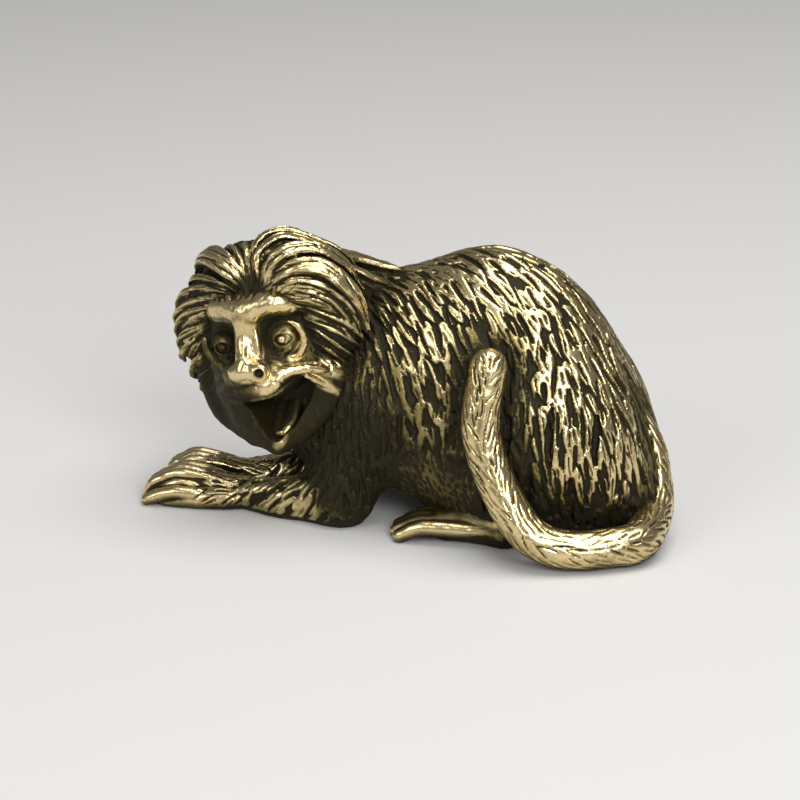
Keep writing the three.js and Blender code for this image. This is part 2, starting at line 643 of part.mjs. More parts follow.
add("torso", torso);
for (const [name, side] of [["left", LEFT], ["right", RIGHT]]) {
  add(`${name}_haunch`, (grow) => haunch(side, grow));
  add(`${name}_foot`, (grow) => foot(side, grow));
  add(`${name}_upper_arm`, (grow) => upperArm(side, grow));
  add(`${name}_forearm`, (grow) => forearm(side, grow));
  add(`${name}_hand`, (grow) => hand(side, grow));
}
add("tail", tail);
add("left_eye", (grow) => eye(1, grow));
add("right_eye", (grow) => eye(-1, grow));
add("head", (grow) => cut(head(grow), faceHollows()));
add("lower_jaw", lowerJaw);
add("tongue", tongue, darkBrass);
add("mane_left", (grow) => maneSide(LEFT_LOCKS, grow));
add("mane_right", (grow) => maneSide(RIGHT_LOCKS, grow));
add("mane_nape", nape);

// The origin goes under the middle of the figurine, on the resting plane.
const box = new THREE.Box3().setFromObject(figurine);
const middle = box.getCenter(new THREE.Vector3());
figurine.position.set(-middle.x, -middle.y, -box.min.z);

export default figurine;
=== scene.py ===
# A crouching lion tamarin, a small cast brass ornament with dark patina in its fur and hollows.
# The forms are modelled in clay, in millimetres, in the animal's own axes: it faces -X, its left flank
# faces -Y and it rests on Z = 0. They become metres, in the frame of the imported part, at the end.
import math

import bpy
import numpy as np
import openvdb as vdb
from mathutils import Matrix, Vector
from mathutils.kdtree import KDTree


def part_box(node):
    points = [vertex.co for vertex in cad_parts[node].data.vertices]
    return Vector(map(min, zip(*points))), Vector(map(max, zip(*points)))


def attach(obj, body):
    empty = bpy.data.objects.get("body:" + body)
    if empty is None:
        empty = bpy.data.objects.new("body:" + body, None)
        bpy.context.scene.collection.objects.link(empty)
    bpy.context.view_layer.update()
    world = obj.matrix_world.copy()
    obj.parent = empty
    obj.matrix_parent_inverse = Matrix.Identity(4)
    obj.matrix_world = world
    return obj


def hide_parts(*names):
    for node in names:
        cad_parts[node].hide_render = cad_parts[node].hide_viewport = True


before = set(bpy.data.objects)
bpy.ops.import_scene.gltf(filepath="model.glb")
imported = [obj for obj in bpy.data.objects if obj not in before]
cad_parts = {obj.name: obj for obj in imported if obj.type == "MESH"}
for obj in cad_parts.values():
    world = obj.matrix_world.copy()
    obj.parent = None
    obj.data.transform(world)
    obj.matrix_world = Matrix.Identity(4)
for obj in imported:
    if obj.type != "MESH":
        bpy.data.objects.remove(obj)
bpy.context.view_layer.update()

METRE = 0.001
SEED = 7

# Torso, from the part's own sizes
BODY_LENGTH = 33
BODY_HEIGHT = 23.4
BODY_HALF_WIDTH = 8.4
BODY_TAPER = 0.16
RUMP_X = BODY_LENGTH * 0.672
TORSO_END = RUMP_X + 0.3

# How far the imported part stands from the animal's own axes
TORSO_LOW, TORSO_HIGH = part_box("torso")
SHIFT = np.array([
    TORSO_HIGH.x / METRE - TORSO_END,
    (TORSO_LOW.y + TORSO_HIGH.y) / 2 / METRE,
    0,
])

# Sections from rump to breast: share of the length, then top, bottom and half width as shares
BODY_SECTIONS = np.array([
    [0, 0.2, 0.08, 0.3],
    [0.035, 0.33, 0.02, 0.56],
    [0.1, 0.55, -0.04, 0.8],
    [0.2, 0.79, -0.06, 0.95],
    [0.3, 0.925, -0.06, 1],
    [0.42, 0.995, -0.06, 1],
    [0.52, 0.987, -0.04, 0.97],
    [0.63, 0.93, 0.05, 0.9],
    [0.73, 0.885, 0.11, 0.8],
    [0.83, 0.84, 0.12, 0.68],
    [0.92, 0.74, 0.14, 0.54],
    [1, 0.58, 0.24, 0.34],
])

# Legs and arms
HAUNCH_CENTRE = np.array([11.62, 3.83, 7.59])
HAUNCH_RADII = np.array([8.0, 5.56, 8.25])
SHOULDER = [-1.0, 4.6, 10.4, 3.9]
ELBOW = [-4.88, 4.2, 2.2, 2.4]
WRIST = {"x": -14.48, "z": 1.28, "radius": 1.28}
HAND_Y = {"left": -2.71, "right": 1.51}
KNUCKLE_X = -17.68
KNUCKLE_HEIGHT = 2.65
FINGER_LENGTH = {"left": 4.6, "right": 3.9}
FINGER_PITCH = 0.98
FINGER_RADIUS = 0.47
HEEL = [9.31, 6.72]
BALL = [4.31, 6.12]
FOOT_RADIUS = 1.5
TOE_LENGTH = 4.0
TOE_RADIUS = 0.68
KNEE = [4.69, 4.7, 7.0]
SIDES = {"left": -1, "right": 1}

# Main furrows of a haunch: rows of degrees from the middle of its outside, the count in the upper row
FURROW_ROWS = [[5, 42], [-38, -4]]
FURROW_COUNT = 4
FURROW_PITCH = 3.5
FURROW_RADIUS = 0.34

# Tail: route of x, y, z and radius from the rump round the left haunch and up the flank
TAIL_ROUTE = [
    [19.6, -0.4, 10.0, 0.7],
    [20.7, -0.8, 7.6, 1.1],
    [21.1, -1.4, 5.0, 1.45],
    [21.2, -3.0, 2.6, 1.75],
    [20.6, -7.8, 1.8, 1.84],
    [18.4, -9.7, 1.75, 1.75],
    [15.0, -11.0, 1.84, 1.75],
    [12.1, -11.3, 3.1, 1.75],
    [9.6, -10.52, 6.5, 1.75],
    [7.9, -9.61, 11.05, 1.75],
    [8.25, -8.3, 15.95, 1.68],
]

# Outer face of the tail, which handling keeps bright and on which a painted highlight is laid as well
TAIL_FACE = np.array([0.1, -0.93, 0.35])
TAIL_WEAR_AND_HIGHLIGHT = 0.78

# Head: its middle, and its own axes forward out of the face, to its left and out of the crown
HEAD_MIDDLE = np.array([-10.395, -2.52, 15.327])
HEAD_YAW = math.radians(260)
HEAD_TILT = math.radians(15)

# Camera, from the photograph
CAMERA_PLACE = np.array([49.41, -236.13, 97.37])
CAMERA_TARGET = np.array([-1.38, 2.85, 8.44])
CAMERA_LENS = 138.06

FAR = 6.0
BODY_GRAIN = 0.13


# Clay


def head_axes():
    """The head's axes in the animal's frame, one to a row."""
    forward = np.array([math.cos(HEAD_YAW), math.sin(HEAD_YAW), 0])
    level = np.array([-math.sin(HEAD_YAW), math.cos(HEAD_YAW), 0])
    upright = np.array([0, 0, 1.0])
    left = level * math.cos(HEAD_TILT) + upright * math.sin(HEAD_TILT)
    crown = upright * math.cos(HEAD_TILT) - level * math.sin(HEAD_TILT)
    return np.array([forward, left, crown])


HEAD_AXES = head_axes()


def from_head(points):
    return np.asarray(points) @ HEAD_AXES + HEAD_MIDDLE


def smooth_route(points, spacing):
    """Samples of a smooth curve through rows of numbers; the first three columns are its place."""
    points = np.asarray(points, float)
    before = 2 * points[0] - points[1]
    after = 2 * points[-1] - points[-2]
    row = np.vstack([before, points, after])
    samples = []
    for a, b, c, d in zip(row[:-3], row[1:-2], row[2:-1], row[3:]):
        steps = max(2, int(np.linalg.norm((c - b)[:3]) / spacing))
        t = (np.arange(steps) / steps)[:, None]
        bend = (2 * a - 5 * b + 4 * c - d) * t * t + (3 * b - a - 3 * c + d) * t * t * t
        samples.append(b + 0.5 * ((c - a) * t + bend))
    return np.vstack(samples + [points[-1:]])


def smooth_least(a, b, blend):
    """The lesser of two distances, with a fillet of that size where they meet."""
    if blend <= 0:
        return np.minimum(a, b)
    share = np.clip(0.5 + 0.5 * (b - a) / blend, 0, 1)
    return b + (a - b) * share - blend * share * (1 - share)


def smoothstep(low, high, value):
    t = np.clip((value - low) / (high - low), 0, 1)
    return t * t * (3 - 2 * t)


class Egg:
    """An egg of clay with its own radius along each axis."""

    def __init__(self, centre, radii):
        self.centre = np.array(centre, float)
        self.radii = np.array(radii, float) * np.ones(3)

    def box(self):
        return self.centre - self.radii, self.centre + self.radii

    def distance(self, x, y, z):
        offsets = [axis - middle for axis, middle in zip((x, y, z), self.centre)]
        scaled = sum((offset / radius) ** 2 for offset, radius in zip(offsets, self.radii))
        slope = sum((offset / radius**2) ** 2 for offset, radius in zip(offsets, self.radii))
        reach = np.sqrt(scaled)
        return reach * (reach - 1) / np.maximum(np.sqrt(slope), 1e-6)


class Roll:
    """A tapering roll of clay along a smooth route of x, y, z and radius."""

    def __init__(self, route, spacing=0.5):
        self.route = smooth_route(route, spacing)

    def box(self):
        reach = self.route[:, 3:]
        return (self.route[:, :3] - reach).min(0), (self.route[:, :3] + reach).max(0)

    def distance(self, x, y, z):
        least = FAR
        for start, end in zip(self.route[:-1], self.route[1:]):
            step = end[:3] - start[:3]
            dot = (x - start[0]) * step[0] + (y - start[1]) * step[1] + (z - start[2]) * step[2]
            along = np.clip(dot / max(step @ step, 1e-9), 0, 1)
            gap = [axis - start[i] - along * step[i] for i, axis in enumerate((x, y, z))]
            radius = start[3] + along * (end[3] - start[3])
            least = np.minimum(least, np.sqrt(gap[0] ** 2 + gap[1] ** 2 + gap[2] ** 2) - radius)
        return least


class Trunk:
    """The body, through its sections from rump to breast."""

    def __init__(self):
        fine = smooth_route(BODY_SECTIONS, 0.01)
        self.shares, self.tops, self.bottoms, self.widths = fine.T

    def box(self):
        low = np.array([RUMP_X - BODY_LENGTH, -BODY_HALF_WIDTH * 1.1, -2])
        return low, np.array([RUMP_X, BODY_HALF_WIDTH * 1.1, BODY_HEIGHT])

    def distance(self, x, y, z):
        share = np.clip((RUMP_X - x) / BODY_LENGTH, 0, 1)
        top = np.interp(share, self.shares, self.tops) * BODY_HEIGHT
        bottom = np.interp(share, self.shares, self.bottoms) * BODY_HEIGHT
        half = (top - bottom) / 2
        rise = (z - (top + bottom) / 2) / half
        width = np.interp(share, self.shares, self.widths) * BODY_HALF_WIDTH
        width = width * (1 - BODY_TAPER * np.clip(rise, -1, 1))
        round_section = (np.sqrt(rise**2 + (y / width) ** 2) - 1) * np.minimum(half, width)
        ends = np.maximum(x - RUMP_X, RUMP_X - BODY_LENGTH - x)
        return -smooth_least(-round_section, -ends, 1.5)


class Prism:
    """A cut with a given outline to the left and up, as deep as back, narrowing inwards."""

    def __init__(self, outline, back, front, narrowing):
        self.outline = np.array(outline, float)
        self.back = back
        self.front = front
        self.narrowing = narrowing

    def box(self):
        low = np.array([self.back, *self.outline.min(0)])
        return low, np.array([self.front, *self.outline.max(0)])

    def distance(self, x, y, z):
        least = FAR**2
        inside = np.zeros(np.broadcast(y, z).shape, bool)
        for (y0, z0), (y1, z1) in zip(self.outline, np.roll(self.outline, -1, axis=0)):
            dy, dz = y1 - y0, z1 - z0
            along = np.clip(((y - y0) * dy + (z - z0) * dz) / (dy * dy + dz * dz), 0, 1)
            least = np.minimum(least, (y - y0 - along * dy) ** 2 + (z - z0 - along * dz) ** 2)
            crosses = (z0 > z) != (z1 > z)
            inside = inside ^ (crosses & (y < y0 + (z - z0) * dy / (dz if dz else 1e-9)))
        flat = np.sqrt(least) * np.where(inside, -1, 1)
        return np.maximum(flat + self.narrowing * (self.front - x), self.back - x)


class Clay:
    """A block of clay on a grid of distances, onto which forms are pressed and out of which they are cut."""

    def __init__(self, low, high, grain):
        self.low = np.array(low, float)
        self.grain = grain
        counts = np.ceil((np.array(high) - self.low) / grain).astype(int) + 1
        self.axes = [start + grain * np.arange(n) for start, n in zip(self.low, counts)]
        self.field = np.full(counts, FAR, np.float32)

    def window(self, form, margin):
        low, high = form.box()
        cut = []
        for axis, a, b in zip(self.axes, low - margin, high + margin):
            cut.append(slice(np.searchsorted(axis, a), np.searchsorted(axis, b)))
        return tuple(cut), np.ix_(*(axis[part] for axis, part in zip(self.axes, cut)))

    def press(self, form, blend=0.3):
        cut, axes = self.window(form, blend + 1)
        self.field[cut] = smooth_least(self.field[cut], form.distance(*axes), blend)

    def carve(self, form, blend=0.1):
        cut, axes = self.window(form, blend + 1)
        self.field[cut] = -smooth_least(-self.field[cut], form.distance(*axes), blend)

    def flatten(self, height=0.0):
        """Cuts the clay off level at the ground."""
        self.field = np.maximum(self.field, (height - self.axes[2])[None, None, :].astype(np.float32))

    def surface(self):
        grid = vdb.FloatGrid(FAR)
        grid.copyFromArray(self.field.astype(np.float32), tolerance=0.0)
        grid.transform = vdb.createLinearTransform(self.grain)
        points, quads = grid.convertToQuads(0.0)
        return points.astype(float) + self.low, quads.astype(np.int64)


# Castings

# Lengths of the waves that make up the unevenness of a cast surface
CAST_WAVES = np.geomspace(0.9, 3.2, 28)
CAST_DEPTH = 0.022


class Casting:
    """One piece as points and four-sided faces in millimetres, with the depth cut into it at each point."""

    def __init__(self, name, points, quads, nodes, slot="antique_brass"):
        self.name = name
        self.points = points
        self.quads = quads
        self.nodes = nodes
        self.slot = slot
        self.cut = np.zeros(len(points))
        # Darkening and brightening of the colour: real tarnish and wear, and on some pieces painted shade and painted
        # highlights
        self.tarnish_and_shade = 0.0
        self.wear_and_highlight = 0.0
        self.dark = np.zeros(len(points))
        self.caps = np.zeros((0, 3), np.int64)
        self.shading = None

    def edges(self):
        pairs = np.vstack([self.quads[:, [i, (i + 1) % 4]] for i in range(4)])
        return np.vstack([pairs, pairs[:, ::-1]])

    def around(self, values, edges):
        """The mean of a value over each point's neighbours."""
        count = np.bincount(edges[:, 0], minlength=len(self.points))
        columns = values.reshape(len(values), -1).T
        sums = [np.bincount(edges[:, 0], column[edges[:, 1]], len(self.points)) for column in columns]
        return (np.array(sums) / np.maximum(count, 1)).T.reshape(values.shape)

    def relax(self, rounds, share=0.5):
        edges = self.edges()
        for _ in range(rounds):
            self.points = self.points + share * (self.around(self.points, edges) - self.points)

    def normals(self):
        corners = self.points[self.quads]
        across = np.cross(corners[:, 2] - corners[:, 0], corners[:, 3] - corners[:, 1])
        total = np.zeros_like(self.points)
        for i in range(4):
            for axis in range(3):
                total[:, axis] += np.bincount(self.quads[:, i], across[:, axis], len(self.points))
        return total / np.maximum(np.linalg.norm(total, axis=1, keepdims=True), 1e-12)

    def hollows(self, reaches):
        """How far each point lies below the mean of its surroundings, for wider and wider surroundings."""
        edges = self.edges()
        normals = self.normals()
        spacing = np.linalg.norm(self.points[edges[:, 0]] - self.points[edges[:, 1]], axis=1).mean()
        mean = self.points
        done = 0
        depths = []
        for reach in reaches:
            rounds = max(2, round((reach / spacing) ** 2))
            for _ in range(rounds - done):
                mean = self.around(mean, edges)
            done = rounds
            depths.append(np.einsum("ij,ij->i", mean - self.points, normals))
        return depths

    def roughen(self, rng, depth):
        """The slight waves of a surface that was cast, not machined."""
        total = np.zeros(len(self.points))
        for length in CAST_WAVES:
            way = rng.normal(size=3)
            way *= 2 * math.pi / length / np.linalg.norm(way)
            total += np.cos(self.points @ way + rng.uniform(0, 2 * math.pi))
        self.points = self.points + self.normals() * (depth * total / math.sqrt(len(CAST_WAVES)))[:, None]
        self.points[:, 2] = np.maximum(self.points[:, 2], 0)

    def engrave(self, depth):
        self.points = self.points - self.normals() * depth[:, None]
        self.cut = np.maximum(self.cut, depth)


# Fur


def spread_points(points, normals, flow, long, wide, rng):
    """Places on a surface that keep apart, further along the flow of the hair than across it."""
    order = rng.permutation(len(points))
    kept = []
    cells = {}
    cell = long
    for i in order:
        key = tuple((points[i] // cell).astype(int))
        clear = True
        for dx in (-1, 0, 1):
            for dy in (-1, 0, 1):
                for dz in (-1, 0, 1):
                    for j in cells.get((key[0] + dx, key[1] + dy, key[2] + dz), ()):
                        gap = points[i] - points[j]
                        along = gap @ flow[j]
                        square = gap @ gap - along * along
                        if (along / long) ** 2 + square / wide**2 < 1:
                            clear = False
                            break
                    if not clear:
                        break
                if not clear:
                    break
            if not clear:
                break
        if clear:
            kept.append(i)
            cells.setdefault(key, []).append(i)
    return kept


def strokes(
    casting, flow, where, rng,
    long=2.0, wide=0.5, length=(1.5, 3.6), width=(0.24, 0.46), depth=0.26, swell=None, shorten=None,
):
    """Depth of dense lens-shaped tool strokes that follow the hair, where the mask says."""
    points = casting.points
    swell = np.ones(len(points)) if swell is None else swell
    shorten = np.ones(len(points)) if shorten is None else shorten
    normals = casting.normals()
    flow = flow - normals * np.einsum("ij,ij->i", flow, normals)[:, None]
    flow /= np.maximum(np.linalg.norm(flow, axis=1, keepdims=True), 1e-9)
    tree = KDTree(len(points))
    for i, point in enumerate(points):
        tree.insert(point, i)
    tree.balance()
    chosen = np.flatnonzero(where)
    thinned = rng.permutation(chosen)[: len(chosen) // 3]
    kept = spread_points(points[thinned], normals[thinned], flow[thinned], long, wide, rng)
    total = np.zeros(len(points))
    for i in thinned[kept]:
        reach = rng.uniform(*length) * shorten[i]
        broad = rng.uniform(*width) * swell[i]
        deep = depth * rng.uniform(0.55, 1.1)
        turn = rng.normal(0, 0.13)
        bow = rng.normal(0, 0.05)
        side = np.cross(normals[i], flow[i])
        along_axis = flow[i] * math.cos(turn) + side * math.sin(turn)
        side_axis = np.cross(normals[i], along_axis)
        near = np.array([entry[1] for entry in tree.find_range(points[i], reach / 2)])
        gap = points[near] - points[i]
        along = gap @ along_axis / (reach / 2)
        across = gap @ side_axis + bow * along * along
        half = broad / 2 * np.sqrt(np.clip(1 - along**2, 0, 1)) * (1 - 0.35 * along)
        lens = np.clip(1 - (across / np.maximum(half, 1e-6)) ** 2, 0, 1)
        facing = normals[near] @ normals[i] > 0.2
        total[near] = np.maximum(total[near], deep * lens**0.7 * facing)
    edges = casting.edges()
    return (0.6 * total + 0.4 * casting.around(total, edges)) * where


def body_flow(points):
    """The way the hair lies on the body: back along the spine, then down the flank."""
    x, y, z = points.T
    lean = 0.12 + 0.75 * smoothstep(9, 21, z) * smoothstep(16, -2, x) + 0.25 * smoothstep(15, 22, z)
    forearm = smoothstep(6, 3, z) * smoothstep(-4, -6, x)
    lean = lean * (1 - forearm) - 0.75 * forearm
    return np.stack([lean, 0 * y, -np.ones_like(z)], axis=1)


# Body


def arm_routes(side):
    """Upper arm and forearm."""
    sign = SIDES[side]
    shoulder = [SHOULDER[0], sign * SHOULDER[1], *SHOULDER[2:]]
    elbow = [ELBOW[0], sign * ELBOW[1], *ELBOW[2:]]
    middle = [(a + b) / 2 for a, b in zip(shoulder[:3], elbow[:3])] + [ELBOW[3] * 1.2]
    halfway = [
        (ELBOW[0] + WRIST["x"]) / 2,
        (elbow[1] + HAND_Y[side]) / 2 + sign * 0.4,
        WRIST["z"] * 1.12,
        (ELBOW[3] + WRIST["radius"]) / 2,
    ]
    wrist = [WRIST["x"], HAND_Y[side], WRIST["z"], WRIST["radius"]]
    return [shoulder, middle, elbow], [elbow, halfway, wrist]


def body_forms():
    forms = {"torso": [Trunk()]}
    for side, sign in SIDES.items():
        centre = HAUNCH_CENTRE * [1, sign, 1]
        forms[f"{side}_haunch"] = [Egg(centre, HAUNCH_RADII)]
        forms[f"{side}_arm"] = [Roll(route) for route in arm_routes(side)]
    return forms


def haunch_furrows(sign):
    """The main furrows between tufts of fur, the lower row set between the upper ones."""
    furrows = []
    for row, (low, high) in enumerate(FURROW_ROWS):
        count = FURROW_COUNT - row
        for k in range(count):
            x = (k - (count - 1) / 2) * FURROW_PITCH
            section = math.sqrt(1 - (x / HAUNCH_RADII[0]) ** 2)
            route = []
            for degrees, share in ((low, 0.4), ((low + high) / 2, 1.0), (high, 0.4)):
                angle = math.radians(degrees)
                offset = [x, section * HAUNCH_RADII[1] * math.cos(angle), section * HAUNCH_RADII[2] * math.sin(angle)]
                route.append([*((HAUNCH_CENTRE + offset) * [1, sign, 1]), FURROW_RADIUS * share])
            furrows.append(Roll(route))
    return furrows


def patina_and_painted_shade(points):
    """Patina that handling never reaches, with painted shade where shade falls under the head and body: breast, neck,
    belly, the lower haunch and along the tail.
    """
    x, y, z = points.T
    breast = 0.74 * smoothstep(6.5, -1.5, x) * smoothstep(18, 11, z) * smoothstep(2, 5, z + 0.3 * (x + 12))
    belly = 0.55 * smoothstep(-4, 0, x) * smoothstep(9, 5, x) * smoothstep(12, 7, z)
    haunch = 0.3 * smoothstep(8, 3, z) * smoothstep(4, 8, x)
    beside_tail = 0.5 * smoothstep(3.2, 0.6, Roll(TAIL_ROUTE, 1.0).distance(x, y, z))
    return np.max([breast, belly, haunch, beside_tail], axis=0)


def model_body():
    clay = Clay([-18, -11, -1], [24, 11, 25], BODY_GRAIN)
    for forms in body_forms().values():
        for form in forms:
            clay.press(form, 1.8)
    for sign in SIDES.values():
        for furrow in haunch_furrows(sign):
            clay.carve(furrow, 0.3)
    clay.flatten()
    body = Casting("body", *clay.surface(), ["torso"])
    body.relax(3)
    rng = np.random.default_rng(SEED)
    x, _, z = body.points.T
    above = smoothstep(0.15, 0.9, z)
    front = smoothstep(3, -3, x) * smoothstep(4, 8, z)
    low_flank = smoothstep(8, 5, z) * smoothstep(4, 8, x)
    recess = smoothstep(-1, 1, x) * smoothstep(9, 6, x) * smoothstep(8.5, 6, z) * above
    flow = body_flow(body.points)
    tufts = strokes(
        body, flow, above, rng,
        long=1.9, wide=0.64, length=(2.0, 4.2), width=(0.6, 1.05), depth=1.0,
        swell=1 - 0.3 * front, shorten=1 - 0.3 * low_flank,
    )
    valleys = 0.3 * smoothstep(0.45, 0.05, tufts) * above * (1 - 0.3 * smoothstep(16, 21, z))
    slashes = strokes(
        body, flow, above, rng,
        long=2.8, wide=1.0, length=(1.6, 4.0), width=(0.26, 0.54), depth=0.36,
        swell=1 + 0.2 * front, shorten=1 - 0.35 * low_flank,
    )
    hairs = strokes(body, flow, above, rng, long=1.4, wide=0.42, length=(0.8, 2.0), width=(0.18, 0.28), depth=0.12)
    pits = strokes(body, flow, recess, rng, long=0.6, wide=0.5, length=(0.4, 0.9), width=(0.3, 0.5), depth=0.2)
    # Breast, neck, belly, lower haunch and the tail's side darker: patina and painted shade
    body.tarnish_and_shade = patina_and_painted_shade(body.points)
    forearm = 0.75 * smoothstep(-5, -7, x) * smoothstep(4.2, 3.2, z) * smoothstep(0.2, 0.7, z)
    body.wear_and_highlight = np.maximum(forearm, 0.4 * recess)
    body.engrave(np.max([valleys * (1 - recess), slashes * (1 - recess), hairs, pits], axis=0))
    return body


# How much further than its own form each casting reaches over the torso, in millimetres
JOINT_REACH = {"torso": 0, "left_haunch": 1.5, "right_haunch": 1.5, "left_arm": 0.6, "right_arm": 0.6}
BODY_NODES = {
    "torso": ["torso"],
    "left_haunch": ["left_haunch"],
    "right_haunch": ["right_haunch"],
    "left_arm": ["left_upper_arm", "left_forearm"],
    "right_arm": ["right_upper_arm", "right_forearm"],
}


def split_body(body):
    """The body as its separate castings, each closed where it meets the next."""
    forms = body_forms()
    gaps = []
    for name, group in forms.items():
        nearest = np.min([form.distance(*body.points.T) for form in group], axis=0)
        gaps.append(nearest - JOINT_REACH[name])
    gaps = np.array(gaps).T
    edges = body.edges()
    for _ in range(30):
        gaps = body.around(gaps, edges)
    owner = np.argmin(gaps[body.quads].mean(axis=1), axis=1)
    normals = body.normals()
    pieces = []
    for label, name in enumerate(forms):
        quads = body.quads[owner == label]
        used, flat = np.unique(quads, return_inverse=True)
        piece = Casting(name, body.points[used], flat.reshape(-1, 4), BODY_NODES[name])
        piece.dark = body.dark[used]
        piece.shading = normals[used]
        close_openings(piece)
        pieces.append(piece)
    return pieces


def close_openings(piece):
    """Closes each opening of a casting with a fan of triangles about the middle of its rim."""
    sides = np.vstack([piece.quads[:, [i, (i + 1) % 4]] for i in range(4)])
    count = len(piece.points)
    here = sides[:, 0] * count + sides[:, 1]
    there = sides[:, 1] * count + sides[:, 0]
    rim = sides[~np.isin(here, there)]
    ring = np.arange(count)
    while not np.array_equal(ring[rim[:, 0]], ring[rim[:, 1]]):
        least = np.minimum(ring[rim[:, 0]], ring[rim[:, 1]])
        np.minimum.at(ring, rim[:, 0], least)
        np.minimum.at(ring, rim[:, 1], least)
    for label in np.unique(ring[rim]):
        opening = rim[ring[rim[:, 0]] == label]
        middle = len(piece.points)
        piece.points = np.vstack([piece.points, piece.points[opening[:, 0]].mean(axis=0)])
        piece.dark = np.append(piece.dark, 1)
        piece.shading = np.vstack([piece.shading, [0, 0, 1]])
        fan = np.column_stack([opening[:, ::-1], np.full(len(opening), middle)])
        piece.caps = np.vstack([piece.caps, fan])


# Hands, feet and tail


def finger_route(side, place, sink=0.0):
    """A finger that arches from the wrist over the knuckles to its tip; place counts from the hand's middle."""
    middle = HAND_Y[side]
    outer = max(0, place * SIDES[side] - 1)
    reach = FINGER_LENGTH[side] * (1 - 0.05 * place**2)
    height = KNUCKLE_HEIGHT * (1 - 0.96 * outer)
    thick = FINGER_RADIUS * (1 + 0.5 * outer)
    splay = FINGER_PITCH * (1 + 0.25 * outer)
    return np.array([
        [WRIST["x"] + 0.6, middle + place * 0.55, height * 0.72, thick * 0.7],
        [WRIST["x"] - 1.6, middle + place * 0.75, height * 0.86, thick * 0.9],
        [KNUCKLE_X, middle + place * splay * 0.95, height * 0.96, thick],
        [KNUCKLE_X - reach * 0.4, middle + place * splay, height, thick],
        [KNUCKLE_X - reach * 0.66, middle + place * splay, height * 0.78, thick],
        [KNUCKLE_X - reach * 0.86, middle + place * splay, height * 0.6, thick],
        [KNUCKLE_X - reach, middle + place * splay, thick * 0.85, thick * 0.85],
    ]) - [0, 0, sink, sink * 0.2]


def model_hand(side):
    middle = HAND_Y[side]
    clay = Clay([-24, middle - 3.5, -0.5], [-11, middle + 3.5, 5], 0.12)
    palm = [
        [WRIST["x"] + 1.5, middle, WRIST["z"], WRIST["radius"] * 0.95],
        [WRIST["x"], middle, WRIST["z"], WRIST["radius"]],
        [KNUCKLE_X, middle, WRIST["z"], WRIST["radius"]],
        [KNUCKLE_X - 2, middle, 1.0, 0.9],
    ]
    pad_y = middle + SIDES[side] * 1.45
    pad = [
        [WRIST["x"] + 1.5, middle + SIDES[side] * 0.5, 0.9, 0.8],
        [WRIST["x"] - 0.8, pad_y - SIDES[side] * 0.3, 0.95, 0.95],
        [KNUCKLE_X - 0.6, pad_y, 0.7, 0.7],
        [KNUCKLE_X - 2.6, pad_y, 0.4, 0.45],
    ]
    clay.press(Roll(palm), 0.4)
    clay.press(Roll(pad), 0.4)
    for place in (-1, 0, 1):
        clay.press(Roll(finger_route(side, place, 0.66)), 0.1)
    for place in (-1.5, -0.5, 0.5, 1.5):
        clay.press(Roll(finger_route(side, place)), 0.08)
    clay.flatten()
    hand = Casting(f"{side}_hand", *clay.surface(), [f"{side}_hand"])
    hand.relax(2)
    x, _, z = hand.points.T
    back = smoothstep(KNUCKLE_X - 0.5, KNUCKLE_X + 1.5, x) * smoothstep(0.3, 1.0, z)
    low = smoothstep(1.9, 1.3, z)
    flow = np.stack([np.ones_like(x), 0 * x, 0.9 * low - 0.15], axis=1)
    rng = np.random.default_rng(SEED + 6)
    hand.engrave(strokes(hand, flow, back, rng, long=1.5, wide=0.4, length=(1.0, 2.4), width=(0.16, 0.3), depth=0.14))
    return hand


def model_foot(side):
    sign = SIDES[side]
    clay = Clay([-1, sign * 6.5 - 4, -0.5], [12, sign * 6.5 + 4, 9], 0.12)
    sole = [
        [HEEL[0], sign * HEEL[1], FOOT_RADIUS * 0.85, FOOT_RADIUS * 1.05],
        [(HEEL[0] + BALL[0]) / 2, sign * (HEEL[1] + BALL[1]) / 2, FOOT_RADIUS * 0.95, FOOT_RADIUS],
        [BALL[0], sign * BALL[1], FOOT_RADIUS * 0.8, FOOT_RADIUS * 0.9],
    ]
    shank = [[KNEE[0], sign * KNEE[1], KNEE[2], 1.5], [HEEL[0] - 1.5, sign * (HEEL[1] - 1), 1.5, 1.2]]
    clay.press(Roll(sole), 0.4)
    clay.press(Roll(shank), 0.8)
    for k in range(4):
        across = (k / 3 - 0.5) * 2
        y = sign * (BALL[1] - across * FOOT_RADIUS * 1.15)
        reach = TOE_LENGTH * (1 - 0.14 * across**2)
        toe = [
            [BALL[0] + 4.0, y, FOOT_RADIUS, TOE_RADIUS * 0.7],
            [BALL[0] + 1.2, y, FOOT_RADIUS, TOE_RADIUS],
            [BALL[0] - reach * 0.5, y, TOE_RADIUS * 2, TOE_RADIUS],
            [BALL[0] - reach, y, TOE_RADIUS * 0.8, TOE_RADIUS * 0.9],
        ]
        clay.press(Roll(toe), 0.12)
    clay.flatten()
    foot = Casting(f"{side}_foot", *clay.surface(), [f"{side}_foot"])
    foot.relax(2)
    # Brighter on faces that look up: wear and painted highlight from light above
    foot.wear_and_highlight = 0.7 * smoothstep(0.0, 0.6, foot.normals()[:, 2])
    return foot


def model_tail():
    clay = Clay([5, -14, -0.5], [24, 3.5, 18.5], 0.13)
    clay.press(Roll(np.array(TAIL_ROUTE) - [0, 0, 0, 0.14], 0.4), 0)
    clay.flatten()
    tail = Casting("tail", *clay.surface(), ["tail"])
    tail.relax(3)
    # Brighter towards the outer face: wear and painted highlight
    tail.wear_and_highlight = TAIL_WEAR_AND_HIGHLIGHT * smoothstep(-0.1, 0.6, tail.normals() @ TAIL_FACE)
    tail.engrave(herringbone(tail))
    return tail


